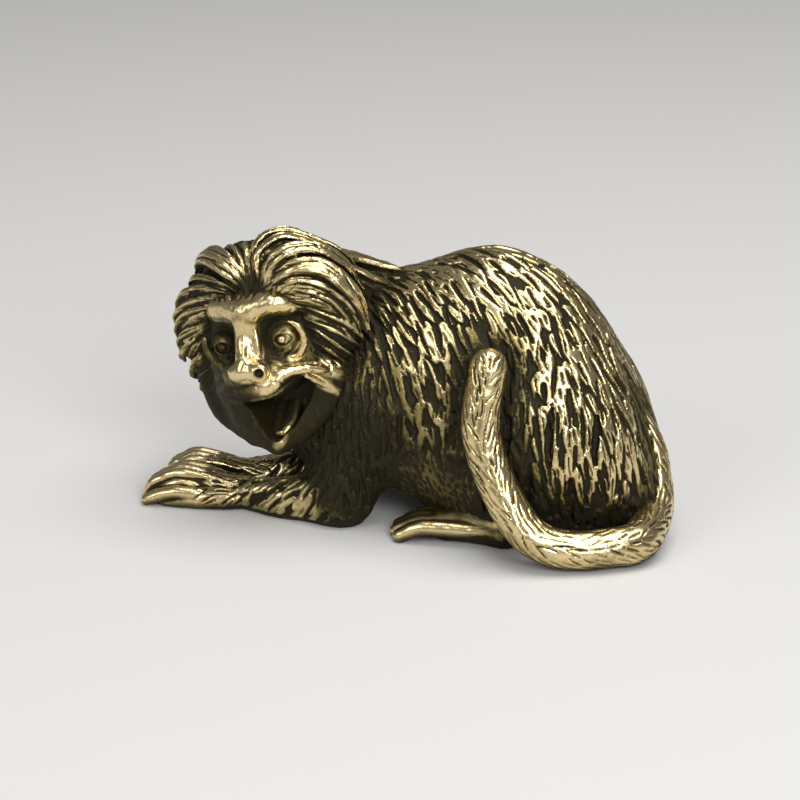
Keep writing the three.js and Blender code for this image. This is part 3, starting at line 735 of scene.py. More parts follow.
def herringbone(tail):
    """Strokes that slant off the tail's outer ridge to both sides, with the hair towards its end."""
    route = smooth_route(TAIL_ROUTE, 0.1)
    tangents = np.gradient(route[:, :3], axis=0)
    tangents /= np.linalg.norm(tangents, axis=1, keepdims=True)
    tree = KDTree(len(route))
    for i, place in enumerate(route):
        tree.insert(place[:3], i)
    tree.balance()
    nearest = np.array([tree.find(point)[1] for point in tail.points])
    outward = tail.points - route[nearest, :3]
    along = tangents[nearest]
    normals = tail.normals()
    ridge = TAIL_FACE * np.ones_like(along)
    ridge -= along * np.einsum("ij,ij->i", ridge, along)[:, None]
    ridge /= np.maximum(np.linalg.norm(ridge, axis=1, keepdims=True), 1e-9)
    side = np.einsum("ij,ij->i", np.cross(along, ridge), outward)
    up_the_flank = 2 * smoothstep(2.6, 5.0, tail.points[:, 2]) - 1
    slant = (up_the_flank * np.clip(side / 0.8, -1, 1))[:, None]
    flow = along + 0.62 * slant * np.cross(along, ridge)
    rng = np.random.default_rng(SEED + 1)
    off_the_end = smoothstep(0.9, 0.6, np.abs(np.einsum("ij,ij->i", normals, along)))
    return strokes(
        tail, flow, off_the_end, rng,
        long=1.5, wide=0.4, length=(1.1, 2.2), width=(0.13, 0.22), depth=0.18,
    )


# Head


MOUTH = [
    [-2.5, -3.45], [-0.6, -3.5], [1.2, -3.45], [2.2, -2.9], [3.0, -2.1], [3.9, -2.5], [4.3, -3.6],
    [3.3, -5.2], [1.9, -6.8], [0.5, -7.75], [-0.2, -7.95], [-0.8, -7.6], [-1.25, -6.5], [-1.5, -4.6],
]
EYE_BALL = np.array([4.05, 2.7, 0.95])
EYE_BALL_RADIUS = 1.0
# Strength of each eye's painted highlight; the rest is painted shade
EYE_PAINTED_LIGHT = {"left": 1.0, "right": 0.15}
EYE_OPENING = [
    [1.9, 0.75], [2.25, 1.2], [2.8, 1.4], [3.3, 1.2], [3.6, 0.85], [3.2, 0.48], [2.6, 0.38], [2.15, 0.5],
]

# Raised parts of the face, each a route forward, to the left, up and of its radius
BROW = [
    [3.7, -3.5, 3.65, 0.55], [4.2, -2.7, 4.1, 0.86], [4.8, -1.5, 4.2, 1.02], [5.2, -0.4, 3.95, 0.96],
    [5.3, 0.6, 3.75, 0.92], [5.25, 1.6, 3.95, 0.88], [4.95, 2.6, 4.0, 0.84], [4.4, 3.6, 3.6, 0.66],
    [3.7, 4.5, 2.9, 0.34],
]
BRIDGE = [
    [5.2, 0.2, 3.6, 1.0], [5.4, 0.0, 2.8, 0.84], [5.55, -0.2, 1.8, 0.72], [6.0, -0.35, 0.7, 0.76],
    [6.6, -0.2, -0.4, 0.9],
]
LIP = [
    [3.4, -4.6, -3.0, 0.45], [5.2, -3.3, -2.45, 0.55], [6.6, -0.6, -2.6, 0.6], [6.7, 1.5, -2.35, 0.72],
    [5.95, 2.7, -1.65, 0.52], [4.7, 4.2, -1.9, 0.4], [3.4, 5.25, -2.65, 0.32], [2.1, 6.2, -3.7, 0.14],
]
CHEEK_FOLD = [[4.6, 3.85, -2.5, 0.24], [3.2, 4.7, -3.9, 0.26], [2.25, 5.55, -5.1, 0.1]]
SMILE_LINE = [[3.6, 5.0, -1.95, 0.12], [2.6, 5.8, -2.65, 0.2], [1.3, 6.35, -3.85, 0.1]]
BRIDGE_GROOVE = [[6.1, 0.45, 2.9, 0.1], [6.3, 0.38, 1.8, 0.22], [6.6, 0.32, 0.7, 0.2], [6.9, 0.2, 0.1, 0.08]]
INNER_RIM = [[5.5, 0.85, 2.7, 0.16], [5.75, 0.85, 1.6, 0.28], [5.95, 0.8, 0.5, 0.3], [6.1, 0.75, -0.2, 0.16]]
EYE_RIM = [
    [5.0, 3.7, 2.3, 0.12], [4.75, 4.35, 1.8, 0.26], [4.5, 4.5, 0.7, 0.36], [4.5, 4.0, -0.35, 0.3],
    [4.8, 3.0, -0.9, 0.12],
]
UPPER_LIP_EDGE = [
    [4.4, -2.9, -3.6, 0.2], [5.7, -0.8, -3.55, 0.22], [5.7, 1.4, -3.3, 0.2], [4.6, 2.8, -2.4, 0.18],
]
CHIN_LIP = [[4.4, -1.4, -7.0, 0.22], [4.9, -0.25, -7.95, 0.3], [4.4, 0.9, -7.1, 0.22]]
RUFF = [
    [1.0, -6.0, 0.6, 1.5], [1.2, -6.3, -1.4, 1.6], [1.3, -6.0, -3.2, 1.55], [1.6, -5.6, -4.9, 1.45],
    [2.3, -4.4, -6.2, 1.15], [3.1, -2.9, -7.2, 0.85],
]
LOWER_LID = [[4.9, 1.9, 0.05, 0.12], [5.1, 2.5, -0.2, 0.17], [4.9, 3.3, 0.0, 0.12]]
NOSE = [6.9, -0.05, -0.8]
NOSTRIL = [7.15, 1.0, -1.05]
NOSTRIL_HOLE = [0.55, 0.3, 0.05]
RIGHT_NOSTRIL = [6.95, -1.1, -0.85]
RIGHT_NOSTRIL_HOLE = [0.3, -0.75, 0.0]
HAIR_ROOT = [4.9, 1.0, 5.0]


def mirrored(route):
    return [[f, -l, u, radius] for f, l, u, radius in route]


# Mass of hair below the locks, round the face from cheek to cheek: angle, distance out, forward, radius
COLLAR = [
    [-55, 4.4, 0.2, 1.2], [-25, 5.0, 0.8, 1.3], [5, 5.7, 1.1, 1.4], [35, 6.0, 1.4, 1.45], [65, 5.9, 1.4, 1.4],
    [88, 5.4, 1.4, 1.2], [110, 5.7, 1.4, 1.4], [140, 5.9, 1.4, 1.45], [170, 5.7, 1.1, 1.4],
    [200, 5.3, 0.7, 1.3], [230, 4.6, 0.1, 1.2],
]


def model_collar(clay):
    for behind, out, more in ((0, 0, 0), (1.9, 0.3, 0.45)):
        ring = []
        for degrees, reach, forward, radius in COLLAR:
            angle = math.radians(degrees)
            place = [(reach + out) * math.cos(angle), 0.8 + (reach + out) * math.sin(angle)]
            ring.append([forward - behind, *place, radius + more])
        clay.press(Roll(ring), 0.6)


def model_skull(clay):
    """Skull, forehead, neck, cheeks and the broad jaw that runs down to the chin."""
    clay.press(Egg([-0.4, 0, 1.2], [5.6, 5.8, 5.6]), 0)
    clay.press(Roll([[-1, 0, -1, 4.8], [-2.2, 0.2, -3.2, 4.9], [-3.2, 0.6, -5.8, 4.8]]), 1.5)
    clay.press(Roll([
        [0.6, -0.9, -2.2, 5.3], [1.7, -0.9, -4.8, 4.1], [3.2, -0.6, -6.8, 2.2], [4.3, -0.55, -8.0, 0.9],
    ]), 1.2)
    clay.press(Roll([[2.4, 3.2, -1.4, 1.9], [1.5, 4.3, -3.2, 2.0], [0.8, 4.2, -5.0, 1.9]]), 1.0)
    clay.press(Roll([[1.2, 4.1, -4.1, 1.7], [2.2, 3.1, -5.8, 1.4], [3.4, 1.3, -7.3, 1.05]]), 0.8)
    clay.press(Roll(RUFF), 0.8)
    clay.press(Egg([2.2, 0, -0.2], [3.4, 4.6, 4.4]), 1.0)
    clay.press(Egg([3.1, 0.5, 4.2], [2.1, 3.6, 1.7]), 0.8)


def model_eyes_and_brow(clay):
    for side in (1, -1):
        clay.carve(Egg([5.5, side * 2.75, 1.2], [1.9, 1.6, 1.6]), 0.6)
    clay.press(Roll(BROW), 0.9)
    clay.press(Roll(BRIDGE), 0.8)
    clay.carve(Roll(BRIDGE_GROOVE), 0.25)
    for side in (1, -1):
        ball = EYE_BALL * [1, side, 1]
        clay.press(Egg(ball, EYE_BALL_RADIUS + 0.24), 0.25)
        opening = Prism([[side * l, u] for l, u in EYE_OPENING], EYE_BALL[0], 8.0, 0.0)
        clay.carve(opening, 0.12)
    for route in (EYE_RIM, LOWER_LID, mirrored(EYE_RIM[1:4]), mirrored(LOWER_LID)):
        clay.press(Roll(route), 0.25)
    clay.press(Roll(INNER_RIM), 0.25)


def model_muzzle(clay):
    clay.press(Egg([5.0, 0, -1.7], [2.2, 3.1, 1.5]), 0.7)
    clay.press(Egg(NOSE, [0.85, 1.6, 0.75]), 0.4)
    clay.press(Roll(LIP), 0.3)
    clay.press(Roll(CHEEK_FOLD), 0.2)
    clay.press(Roll(SMILE_LINE), 0.2)
    clay.carve(Prism(MOUTH, 2.0, 8.0, 0.1), 0.2)
    clay.press(Roll(UPPER_LIP_EDGE), 0.15)
    clay.press(Roll(CHIN_LIP), 0.2)
    clay.press(Egg(NOSTRIL, [0.68, 0.9, 0.86]), 0.12)
    clay.carve(Egg(np.array(NOSTRIL) + NOSTRIL_HOLE, [0.5, 0.36, 0.36]), 0.06)
    clay.press(Egg(RIGHT_NOSTRIL, [0.55, 0.8, 0.7]), 0.3)
    clay.carve(Egg(np.array(RIGHT_NOSTRIL) + RIGHT_NOSTRIL_HOLE, [0.4, 0.2, 0.2]), 0.06)


def face_wear_and_highlight(points):
    """1 on the raised parts of the face, which handling keeps bright, 0 away from them; the bright lip on the left only
    and the left eye's lids are painted highlight.
    """

    def beside(form, near, far):
        return smoothstep(far, near, form.distance(*points.T))

    forms = [Roll(route) for route in (BROW[1:-1], BRIDGE, CHEEK_FOLD, SMILE_LINE, EYE_RIM, INNER_RIM)]
    forms += [Egg(NOSE, [0.9, 1.6, 0.8]), Egg(NOSTRIL, 0.7)]
    wear_and_highlight = np.max([beside(form, 0.05, 0.5) for form in forms], axis=0)
    # The lip bright on its left half only: painted highlight on the lit side
    lip = beside(Roll(LIP), 0.0, 0.5) * smoothstep(0.0, 1.2, points[:, 1])
    # Lids of the left eye only: painted highlight
    near_lid_highlight = 0.55 * beside(Egg(EYE_BALL, EYE_BALL_RADIUS + 0.24), 0.0, 0.2)
    chin = 0.8 * beside(Roll(CHIN_LIP), 0.0, 0.2)
    edge = 0.5 * beside(Roll(UPPER_LIP_EDGE), 0.0, 0.15)
    hole = beside(Egg(np.array(NOSTRIL) + NOSTRIL_HOLE, [0.5, 0.38, 0.38]), 0.02, 0.12)
    return np.max([wear_and_highlight * (1 - hole), lip, near_lid_highlight, chin, edge], axis=0)


def beside_root(points):
    """1 where the hair springs from the forehead, which stays dark."""
    return smoothstep(2.2, 1.1, np.linalg.norm(points - HAIR_ROOT, axis=1))


def model_head():
    clay = Clay([-10, -10, -12], [9, 10, 11], 0.125)
    model_skull(clay)
    model_collar(clay)
    model_eyes_and_brow(clay)
    model_muzzle(clay)
    points, quads = clay.surface()
    head = Casting("head", points, quads, ["head", "lower_jaw"])
    head.relax(2)
    forward, left, up = head.points.T
    neck = smoothstep(0.9, -0.4, forward) * smoothstep(-1.5, -3, up)
    ring = np.hypot(left, up - 0.8)
    hair = smoothstep(4.6, 5.2, ring) * smoothstep(-3.2, -2.2, up) * smoothstep(3.9, 3.4, forward)
    forehead = smoothstep(4.75, 5.15, up) * smoothstep(3.4, 3.9, forward)
    wear_and_highlight = face_wear_and_highlight(head.points)
    # Jaw and the lower right of the muzzle darker: painted shade, over the even tarnish of 0.45
    jaw = 0.74 * smoothstep(-3.2, -4.0, up)
    far_lip_shade = 0.6 * smoothstep(0.6, -0.4, left) * smoothstep(-1.5, -2.1, up)
    dull_and_shaded = np.max([np.full(len(up), 0.45), jaw, far_lip_shade], axis=0)
    head.tarnish_and_shade = np.maximum(dull_and_shaded * (1 - wear_and_highlight), 0.7 * beside_root(head.points))
    head.wear_and_highlight = 0.88 * wear_and_highlight
    combed = np.stack([-0.55 * np.ones_like(ring), left, up - 0.8], axis=1) @ HEAD_AXES
    head.points = from_head(head.points)
    rng = np.random.default_rng(SEED + 2)
    head.engrave(strokes(head, body_flow(head.points), neck, rng))
    head.engrave(strokes(head, combed, np.maximum(hair, forehead), rng, wide=0.42, length=(1.2, 3.0)))
    head.engrave(strokes(
        head, combed, smoothstep(0.2, 0.6, wear_and_highlight), rng,
        long=0.9, wide=0.55, length=(0.4, 1.1), width=(0.14, 0.28), depth=0.07,
    ))
    return head


def model_eye(side, sign):
    middle = EYE_BALL * [1, sign, 1]
    clay = Clay(middle - 1.6, middle + 1.6, 0.06)
    clay.press(Egg(middle, EYE_BALL_RADIUS), 0)
    front = middle + [EYE_BALL_RADIUS, 0, 0]
    clay.carve(Egg(front + [0.18, 0, 0], 0.5), 0.1)
    clay.press(Egg(front - [0.22, 0.04, 0.04], 0.38), 0.05)
    eye = Casting(f"{side}_eye", *clay.surface(), [f"{side}_eye"])
    eye.relax(2)
    rim = np.linalg.norm((eye.points - front)[:, 1:], axis=1)
    ring = smoothstep(0.42, 0.52, rim) * smoothstep(1.0, 0.8, rim)
    # Painted highlight on the pupil and a ring round it, and painted shade over the right eye
    eye.wear_and_highlight = EYE_PAINTED_LIGHT[side] * (0.9 * smoothstep(0.38, 0.28, rim) + 0.45 * ring)
    eye.tarnish_and_shade = 0.7 * (1 - EYE_PAINTED_LIGHT[side])
    eye.points = from_head(eye.points)
    return eye


# Places across the tongue of the rolls that it is made of, with a furrow down its middle
TONGUE_LOBES = [-0.85, -0.4, 0.4, 0.85]


def model_tongue():
    clay = Clay([-1, -2.5, -8.5], [7, 2.5, -1], 0.1)
    for across in TONGUE_LOBES:
        clay.press(Roll([
            [0.9, across, -4.6, 0.5], [2.3, across, -5.9, 0.55], [3.3, across * 0.8, -6.7, 0.5],
            [4.0, across * 0.4 - 0.1, -7.2, 0.36],
        ]), 0.25)
    tongue = Casting("tongue", *clay.surface(), ["tongue"], "blackened_brass")
    tongue.relax(2)
    tongue.wear_and_highlight = 0.5
    tongue.points = from_head(tongue.points)
    return tongue


# Mane: guide lines of the locks in the head's axes, each with its half width

MANE_LEFT = [
    (0.34, [
        [5.0, 0.8, 4.6], [4.3, 1.2, 5.8], [3.3, 1.0, 7.7], [2.4, 1.5, 8.8], [1.5, 2.6, 9.2], [0.8, 3.9, 8.9],
        [0.2, 5.1, 8.0], [-0.6, 6.9, 6.5], [-1.5, 7.7, 4.9], [-2.4, 8.5, 2.4],
    ]),
    (0.42, [
        [5.1, 1.1, 4.6], [4.5, 1.7, 5.9], [3.8, 1.8, 7.8], [3.0, 2.8, 8.7], [2.2, 4.0, 8.8], [1.2, 5.4, 7.8],
        [0.2, 7.0, 6.2], [-0.7, 7.8, 4.5], [-1.6, 8.5, 2.2],
    ]),
    (0.66, [
        [5.1, 1.5, 4.6], [4.8, 2.4, 5.9], [4.9, 3.5, 7.3], [4.4, 4.4, 7.9], [3.6, 5.4, 8.0], [2.7, 6.6, 7.6],
        [1.8, 7.6, 6.5], [0.8, 8.4, 4.9], [0.0, 9.0, 2.9],
    ]),
    (0.78, [
        [5.0, 2.1, 4.5], [4.9, 3.0, 5.7], [5.0, 4.7, 6.6], [4.5, 6.1, 6.6], [3.8, 7.5, 6.0], [3.2, 8.6, 4.5],
        [2.7, 9.3, 2.8], [2.4, 9.6, 1.2], [2.2, 9.6, -0.2],
    ]),
    (0.4, [
        [4.9, 2.7, 4.4], [5.0, 3.6, 5.3], [5.0, 5.0, 5.7], [4.6, 6.2, 5.4], [4.0, 7.3, 4.6], [3.2, 8.1, 3.3],
        [2.4, 8.6, 1.6], [1.5, 8.8, -0.3],
    ]),
    (0.34, [
        [4.7, 3.3, 4.2], [4.8, 4.1, 4.8], [4.7, 5.7, 4.6], [4.2, 6.7, 4.0], [3.5, 7.5, 3.0],
        [2.7, 7.9, 1.5], [1.6, 8.3, -0.6],
    ]),
    (0.26, [[4.2, 4.6, 3.5], [3.9, 5.8, 2.7], [3.2, 7.0, 1.6], [2.4, 7.9, 0.4], [0.9, 8.7, -2.0]]),
    (0.22, [[3.9, 4.5, 2.2], [3.5, 5.8, 1.3], [2.6, 7.0, 0.0], [0.9, 8.3, -2.6]]),
    (0.24, [[3.8, 4.4, 1.4], [3.4, 5.4, 0.6], [2.7, 6.2, -0.5], [1.9, 6.9, -1.9], [0.9, 7.4, -3.4]]),
    (0.2, [[3.6, 4.3, 0.3], [2.9, 5.5, -1.0], [1.8, 6.5, -2.8], [0.8, 6.9, -4.4]]),
    (0.2, [[3.6, 4.0, -0.7], [3.0, 5.0, -1.7], [2.1, 5.8, -3.1], [1.0, 6.3, -4.9]]),
    (0.2, [[3.7, 4.2, -1.5], [3.2, 5.1, -2.1], [2.5, 6.0, -2.8], [1.7, 6.6, -3.8], [0.6, 6.8, -5.5]]),
]
MANE_RIGHT = [
    (1.0, [
        [5.0, 0.5, 4.6], [4.5, 0.2, 5.9], [4.4, -0.6, 7.2], [3.7, -1.8, 8.1], [2.8, -3.1, 8.4],
        [1.7, -4.7, 7.8], [0.7, -6.2, 6.5],
    ]),
    (0.3, [[5.0, 0.6, 4.6], [4.3, 0.6, 5.9], [3.6, 0.1, 7.3], [2.7, -0.6, 8.2], [1.8, -1.5, 8.5], [0.6, -2.9, 8.3]]),
    (0.3, [[5.0, 0.7, 4.6], [4.2, 1.0, 6.0], [3.3, 0.6, 7.4], [2.4, 0.2, 8.3], [1.4, -0.3, 8.5], [0.2, -0.6, 8.3]]),
    (0.36, [[4.9, 0.0, 4.6], [4.5, -0.8, 5.7], [4.1, -2.4, 6.5], [3.3, -3.9, 6.7], [2.4, -5.5, 6.5], [1.4, -6.9, 5.5]]),
    (0.34, [
        [4.8, -0.6, 4.6], [4.6, -1.4, 5.4], [4.3, -2.6, 5.8], [3.4, -4.6, 5.9], [2.7, -6.4, 5.5],
        [1.9, -7.9, 4.4], [1.0, -8.8, 2.8],
    ]),
    (0.3, [[4.6, -1.4, 4.4], [4.4, -2.3, 4.8], [3.8, -4.2, 5.0], [3.1, -6.1, 4.6], [2.4, -7.8, 3.7], [1.5, -8.9, 2.1]]),
    (0.26, [[4.1, -3.0, 4.2], [3.6, -5.0, 4.1], [3.0, -6.8, 3.6], [2.3, -8.2, 2.5], [1.4, -9.1, 0.9]]),
    (0.38, [[3.4, -4.5, 2.8], [3.1, -5.7, 2.7], [2.7, -7.1, 2.2], [2.1, -8.4, 1.4], [1.3, -9.3, 0.2]]),
    (0.3, [[2.9, -6.2, 1.5], [2.5, -7.3, 1.0], [2.0, -8.3, 0.2], [1.3, -9.1, -0.8]]),
    (0.3, [[2.6, -6.4, 0.1], [2.2, -7.3, -0.6], [1.6, -8.1, -1.6], [1.0, -8.5, -2.6]]),
    (0.28, [[2.3, -6.3, -1.5], [1.9, -7.1, -2.3], [1.5, -7.7, -3.1], [1.0, -8.0, -3.9]]),
]

# Line of the nape's locks: forward, up, spread; then layers of count, lift, share of the length
NAPE_LINE = [
    [1.7, 7.1, 4.6], [-1.1, 6.9, 9.2], [-4.0, 5.4, 12.5], [-6.0, 2.6, 14.2], [-6.8, -1.1, 14.2], [-7.1, -4.6, 13],
]
NAPE_DROOP = 1.1

# Locks that lie over the left shoulder, from the crown on to the back
SHOULDER_LOCKS = [
    (0.8, [[1.0, 4.5, 7.0], [-1.5, 6.2, 5.9], [-3.2, 7.6, 4.6], [-4.2, 8.9, 3.6], [-4.8, 10.2, 2.9], [-5.2, 11.3, 1.9]]),
    (0.7, [[0.5, 3.2, 7.2], [-2.0, 4.8, 6.2], [-4.2, 6.2, 4.8], [-5.4, 7.5, 3.8], [-5.9, 8.9, 3.0], [-6.4, 10.3, 1.9]]),
    (0.46, [[0.2, 6.4, 6.0], [-1.2, 8.0, 4.3], [-2.2, 9.2, 2.9], [-2.9, 10.2, 2.0], [-3.4, 11.2, 1.1]]),
]
NAPE_LAYERS = [[9, 0.0, 1.0], [8, 0.45, 0.72]]
STRAND_WIDTH = 0.44
BROAD_LOCK = 0.61
BROAD_STRAND = 0.72
LOCK_TAPER = [0.25, 0.7, 1, 1, 0.8, 0.16]
HAIR_MIDDLE = [-0.5, 0, 0.8]
TIP_TUCK = 0.35


def lock_strands(half_width, guide, rng):
    """A lock as uneven strands that lie side by side on a core, over the mass of hair below."""
    path = smooth_route(guide, 0.3)
    run = np.linspace(0, 1, len(path))
    radial = path - HAIR_MIDDLE
    radial /= np.linalg.norm(radial, axis=1, keepdims=True)
    path = path - radial * (TIP_TUCK * smoothstep(0.7, 1, run))[:, None]
    tangent = np.gradient(path, axis=0)
    tangent /= np.linalg.norm(tangent, axis=1, keepdims=True)
    outward = radial - tangent * np.einsum("ij,ij->i", radial, tangent)[:, None]
    outward /= np.maximum(np.linalg.norm(outward, axis=1, keepdims=True), 1e-3)
    across = np.cross(tangent, outward)
    size = np.interp(run, np.linspace(0, 1, len(LOCK_TAPER)), LOCK_TAPER)
    strand = STRAND_WIDTH if half_width < BROAD_LOCK else BROAD_STRAND
    count = max(1, round(2 * half_width / strand))
    strands = []
    for k in range(count):
        place = (k + 0.5) / count * 2 - 1
        wave = 0.06 * np.sin(run * rng.uniform(5, 9) + rng.uniform(0, 6))
        offset = across * (place * half_width * size + wave * size)[:, None]
        lift = rng.uniform(-0.06, 0.06) - 0.3 * half_width * place**2
        radius = np.maximum(rng.uniform(0.9, 1.15) * half_width * size / count, 0.1)
        strands.append(np.column_stack([path + offset + outward * lift, radius]))
    core = np.column_stack([path - outward * (0.4 * half_width), 0.7 * half_width * size + 0.04])
    under = path - radial * (0.85 + 0.5 * half_width)
    base = path - radial * (2.0 + 0.5 * half_width)
    thick = np.interp(run, [0, 0.25, 0.8, 1], [0.4, 0.9, 0.8, 0.3]) * min(1, 0.45 + 1.4 * half_width)
    return strands + [core, np.column_stack([under, thick]), np.column_stack([base, 1.4 * thick])]


def hair_tree():
    """Geometry Nodes: sweeps a round section along every curve, at the curve's own radius."""
    tree = bpy.data.node_groups.new("Hair strand", "GeometryNodeTree")
    face = tree.interface
    face.new_socket("Geometry", in_out="INPUT", socket_type="NodeSocketGeometry")
    face.new_socket("Section Points", in_out="INPUT", socket_type="NodeSocketInt").default_value = 12
    face.new_socket("Thickness", in_out="INPUT", socket_type="NodeSocketFloat").default_value = 1.0
    face.new_socket("Finish", in_out="INPUT", socket_type="NodeSocketMaterial")
    face.new_socket("Geometry", in_out="OUTPUT", socket_type="NodeSocketGeometry")
    nodes, links = tree.nodes, tree.links
    given = nodes.new("NodeGroupInput")
    section = nodes.new("GeometryNodeCurvePrimitiveCircle")
    radius = nodes.new("GeometryNodeInputRadius")
    scale = nodes.new("ShaderNodeMath")
    scale.operation = "MULTIPLY"
    sweep = nodes.new("GeometryNodeCurveToMesh")
    realize = nodes.new("GeometryNodeRealizeInstances")
    paint = nodes.new("GeometryNodeSetMaterial")
    result = nodes.new("NodeGroupOutput")
    section.inputs["Radius"].default_value = 1.0
    sweep.inputs["Fill Caps"].default_value = True
    links.new(given.outputs["Section Points"], section.inputs["Resolution"])
    links.new(radius.outputs[0], scale.inputs[0])
    links.new(given.outputs["Thickness"], scale.inputs[1])
    links.new(given.outputs["Geometry"], sweep.inputs["Curve"])
    links.new(section.outputs["Curve"], sweep.inputs["Profile Curve"])
    links.new(scale.outputs[0], sweep.inputs["Scale"])
    links.new(sweep.outputs["Mesh"], realize.inputs["Geometry"])
    links.new(realize.outputs["Geometry"], paint.inputs["Geometry"])
    links.new(given.outputs["Finish"], paint.inputs["Material"])
    links.new(paint.outputs["Geometry"], result.inputs["Geometry"])
    return tree


def sweep_strands(name, strands, tree, finish):
    """A plain mesh of all strands, each a row of x, y, z and radius in millimetres."""
    curves = bpy.data.curves.new(name, "CURVE")
    curves.dimensions = "3D"
    for strand in strands:
        spline = curves.splines.new("POLY")
        spline.points.add(len(strand) - 1)
        places = np.column_stack([strand[:, :3], np.ones(len(strand))])
        spline.points.foreach_set("co", places.ravel())
        spline.points.foreach_set("radius", strand[:, 3])
    holder = bpy.data.objects.new(name, curves)
    bpy.context.collection.objects.link(holder)
    modifier = holder.modifiers.new("Hair", "NODES")
    modifier.node_group = tree
    for item in tree.interface.items_tree:
        if item.in_out == "INPUT" and item.name == "Finish":
            modifier[item.identifier] = finish
    remesh = holder.evaluated_get(bpy.context.evaluated_depsgraph_get())
    mesh = bpy.data.meshes.new_from_object(remesh)
    bpy.data.objects.remove(holder)
    return mesh


def fuse(mesh, grain):
    """One closed skin over all that overlaps in a mesh, as points and four-sided faces."""
    holder = bpy.data.objects.new("fused", mesh)
    bpy.context.collection.objects.link(holder)
    modifier = holder.modifiers.new("Fuse", "REMESH")
    modifier.mode = "VOXEL"
    modifier.voxel_size = grain
    result = holder.evaluated_get(bpy.context.evaluated_depsgraph_get()).to_mesh()
    points = np.empty(len(result.vertices) * 3)
    result.vertices.foreach_get("co", points)
    corners = np.empty(len(result.loops), np.int64)
    result.loops.foreach_get("vertex_index", corners)
    assert len(corners) == 4 * len(result.polygons)
    bpy.data.objects.remove(holder)
    return points.reshape(-1, 3), corners.reshape(-1, 4)


def model_mane(name, locks, tree, finish, grain=0.09):
    rng = np.random.default_rng(SEED + 3)
    strands = [strand for lock in locks for strand in lock_strands(*lock, rng)]
    mesh = sweep_strands(name, strands, tree, finish)
    mane = Casting(name, *fuse(mesh, grain), [name])
    mane.relax(1, 0.4)
    flow = lock_flow(mane.points, [guide for _, guide in locks])
    mane.tarnish_and_shade = 0.7 * beside_root(mane.points)
    mane.points = from_head(mane.points)
    mane.engrave(strokes(
        mane, flow @ HEAD_AXES, np.ones(len(flow)), rng,
        long=2.4, wide=0.3, length=(1.4, 4.0), width=(0.13, 0.22), depth=0.08,
    ))
    return mane


def lock_flow(points, guides):
    """The way the nearest lock runs at each point."""
    places = []
    ways = []
    for guide in guides:
        path = smooth_route(guide, 0.3)
        places.append(path)
        ways.append(np.gradient(path, axis=0))
    places = np.vstack(places)
    tree = KDTree(len(places))
    for i, place in enumerate(places):
        tree.insert(place, i)
    tree.balance()
    nearest = [tree.find(point)[1] for point in points]
    return np.vstack(ways)[nearest]


def nape_locks():
    """Two layers of uneven locks that fall from the crown over the back of the neck."""
    rng = np.random.default_rng(SEED + 4)
    line = np.array(NAPE_LINE)
    locks = []
    for count, lift, length in NAPE_LAYERS:
        for index in range(count):
            spread = index / (count - 1) - 0.5 + rng.uniform(-0.02, 0.02)
            share = length * rng.uniform(0.86, 1.0)
            run = np.linspace(0, share * (len(line) - 1), len(line))
            forward, up, out = [np.interp(run, np.arange(len(line)), column) for column in line.T]
            guide = np.column_stack([forward, spread * out, up - NAPE_DROOP * (2 * spread) ** 2])
            away = guide - HAIR_MIDDLE
            guide += lift * away / np.linalg.norm(away, axis=1, keepdims=True)
            locks.append((rng.uniform(0.62, 0.95), guide.tolist()))
    return locks


# Patina


def blur(grid, reach):
    """A box blur of a grid along each axis, three times over."""
    for _ in range(3):
        for axis in range(3):
            total = np.cumsum(grid, axis=axis)
            ahead = np.roll(total, -reach, axis=axis)
            behind = np.roll(total, reach + 1, axis=axis)
            grid = (ahead - behind) / (2 * reach + 1)
    return grid


# Share that the floor counts as filled, which darkens the castings near it with painted shade
FLOOR_SHELTER = 0.35


def fill_solid(castings, cell, margin):
    """A grid that is 1 inside the castings and the floor, with its low corner."""
    everything = np.vstack([casting.points for casting in castings])
    low = everything.min(0) - margin
    low[2] = -margin
    counts = np.ceil((everything.max(0) + margin - low) / cell).astype(int) + 1
    skin = np.zeros(counts, bool)
    skin[tuple(((everything - low) / cell).astype(int).T)] = True
    skin[:, :, : int(margin / cell) + 1] = True
    air = np.zeros(counts, bool)
    air[:, :, -1] = True
    reached = 0
    while air.sum() > reached:
        reached = air.sum()
        for axis in range(3):
            for step in (1, -1):
                air |= np.roll(air, step, axis=axis) & ~skin
    solid = (~air).astype(np.float32)
    solid[:, :, : int(margin / cell)] *= FLOOR_SHELTER
    return solid, low


def shelter(castings, solid, low, cell, reach, lift):
    """How much of the space about each point, a little way out, is filled, for each casting."""
    crowd = blur(solid, reach)
    values = []
    for casting in castings:
        ahead = casting.points + casting.normals() * lift
        spots = np.clip(((ahead - low) / cell).astype(int), 0, np.array(solid.shape) - 1)
        values.append(crowd[tuple(spots.T)])
    return values


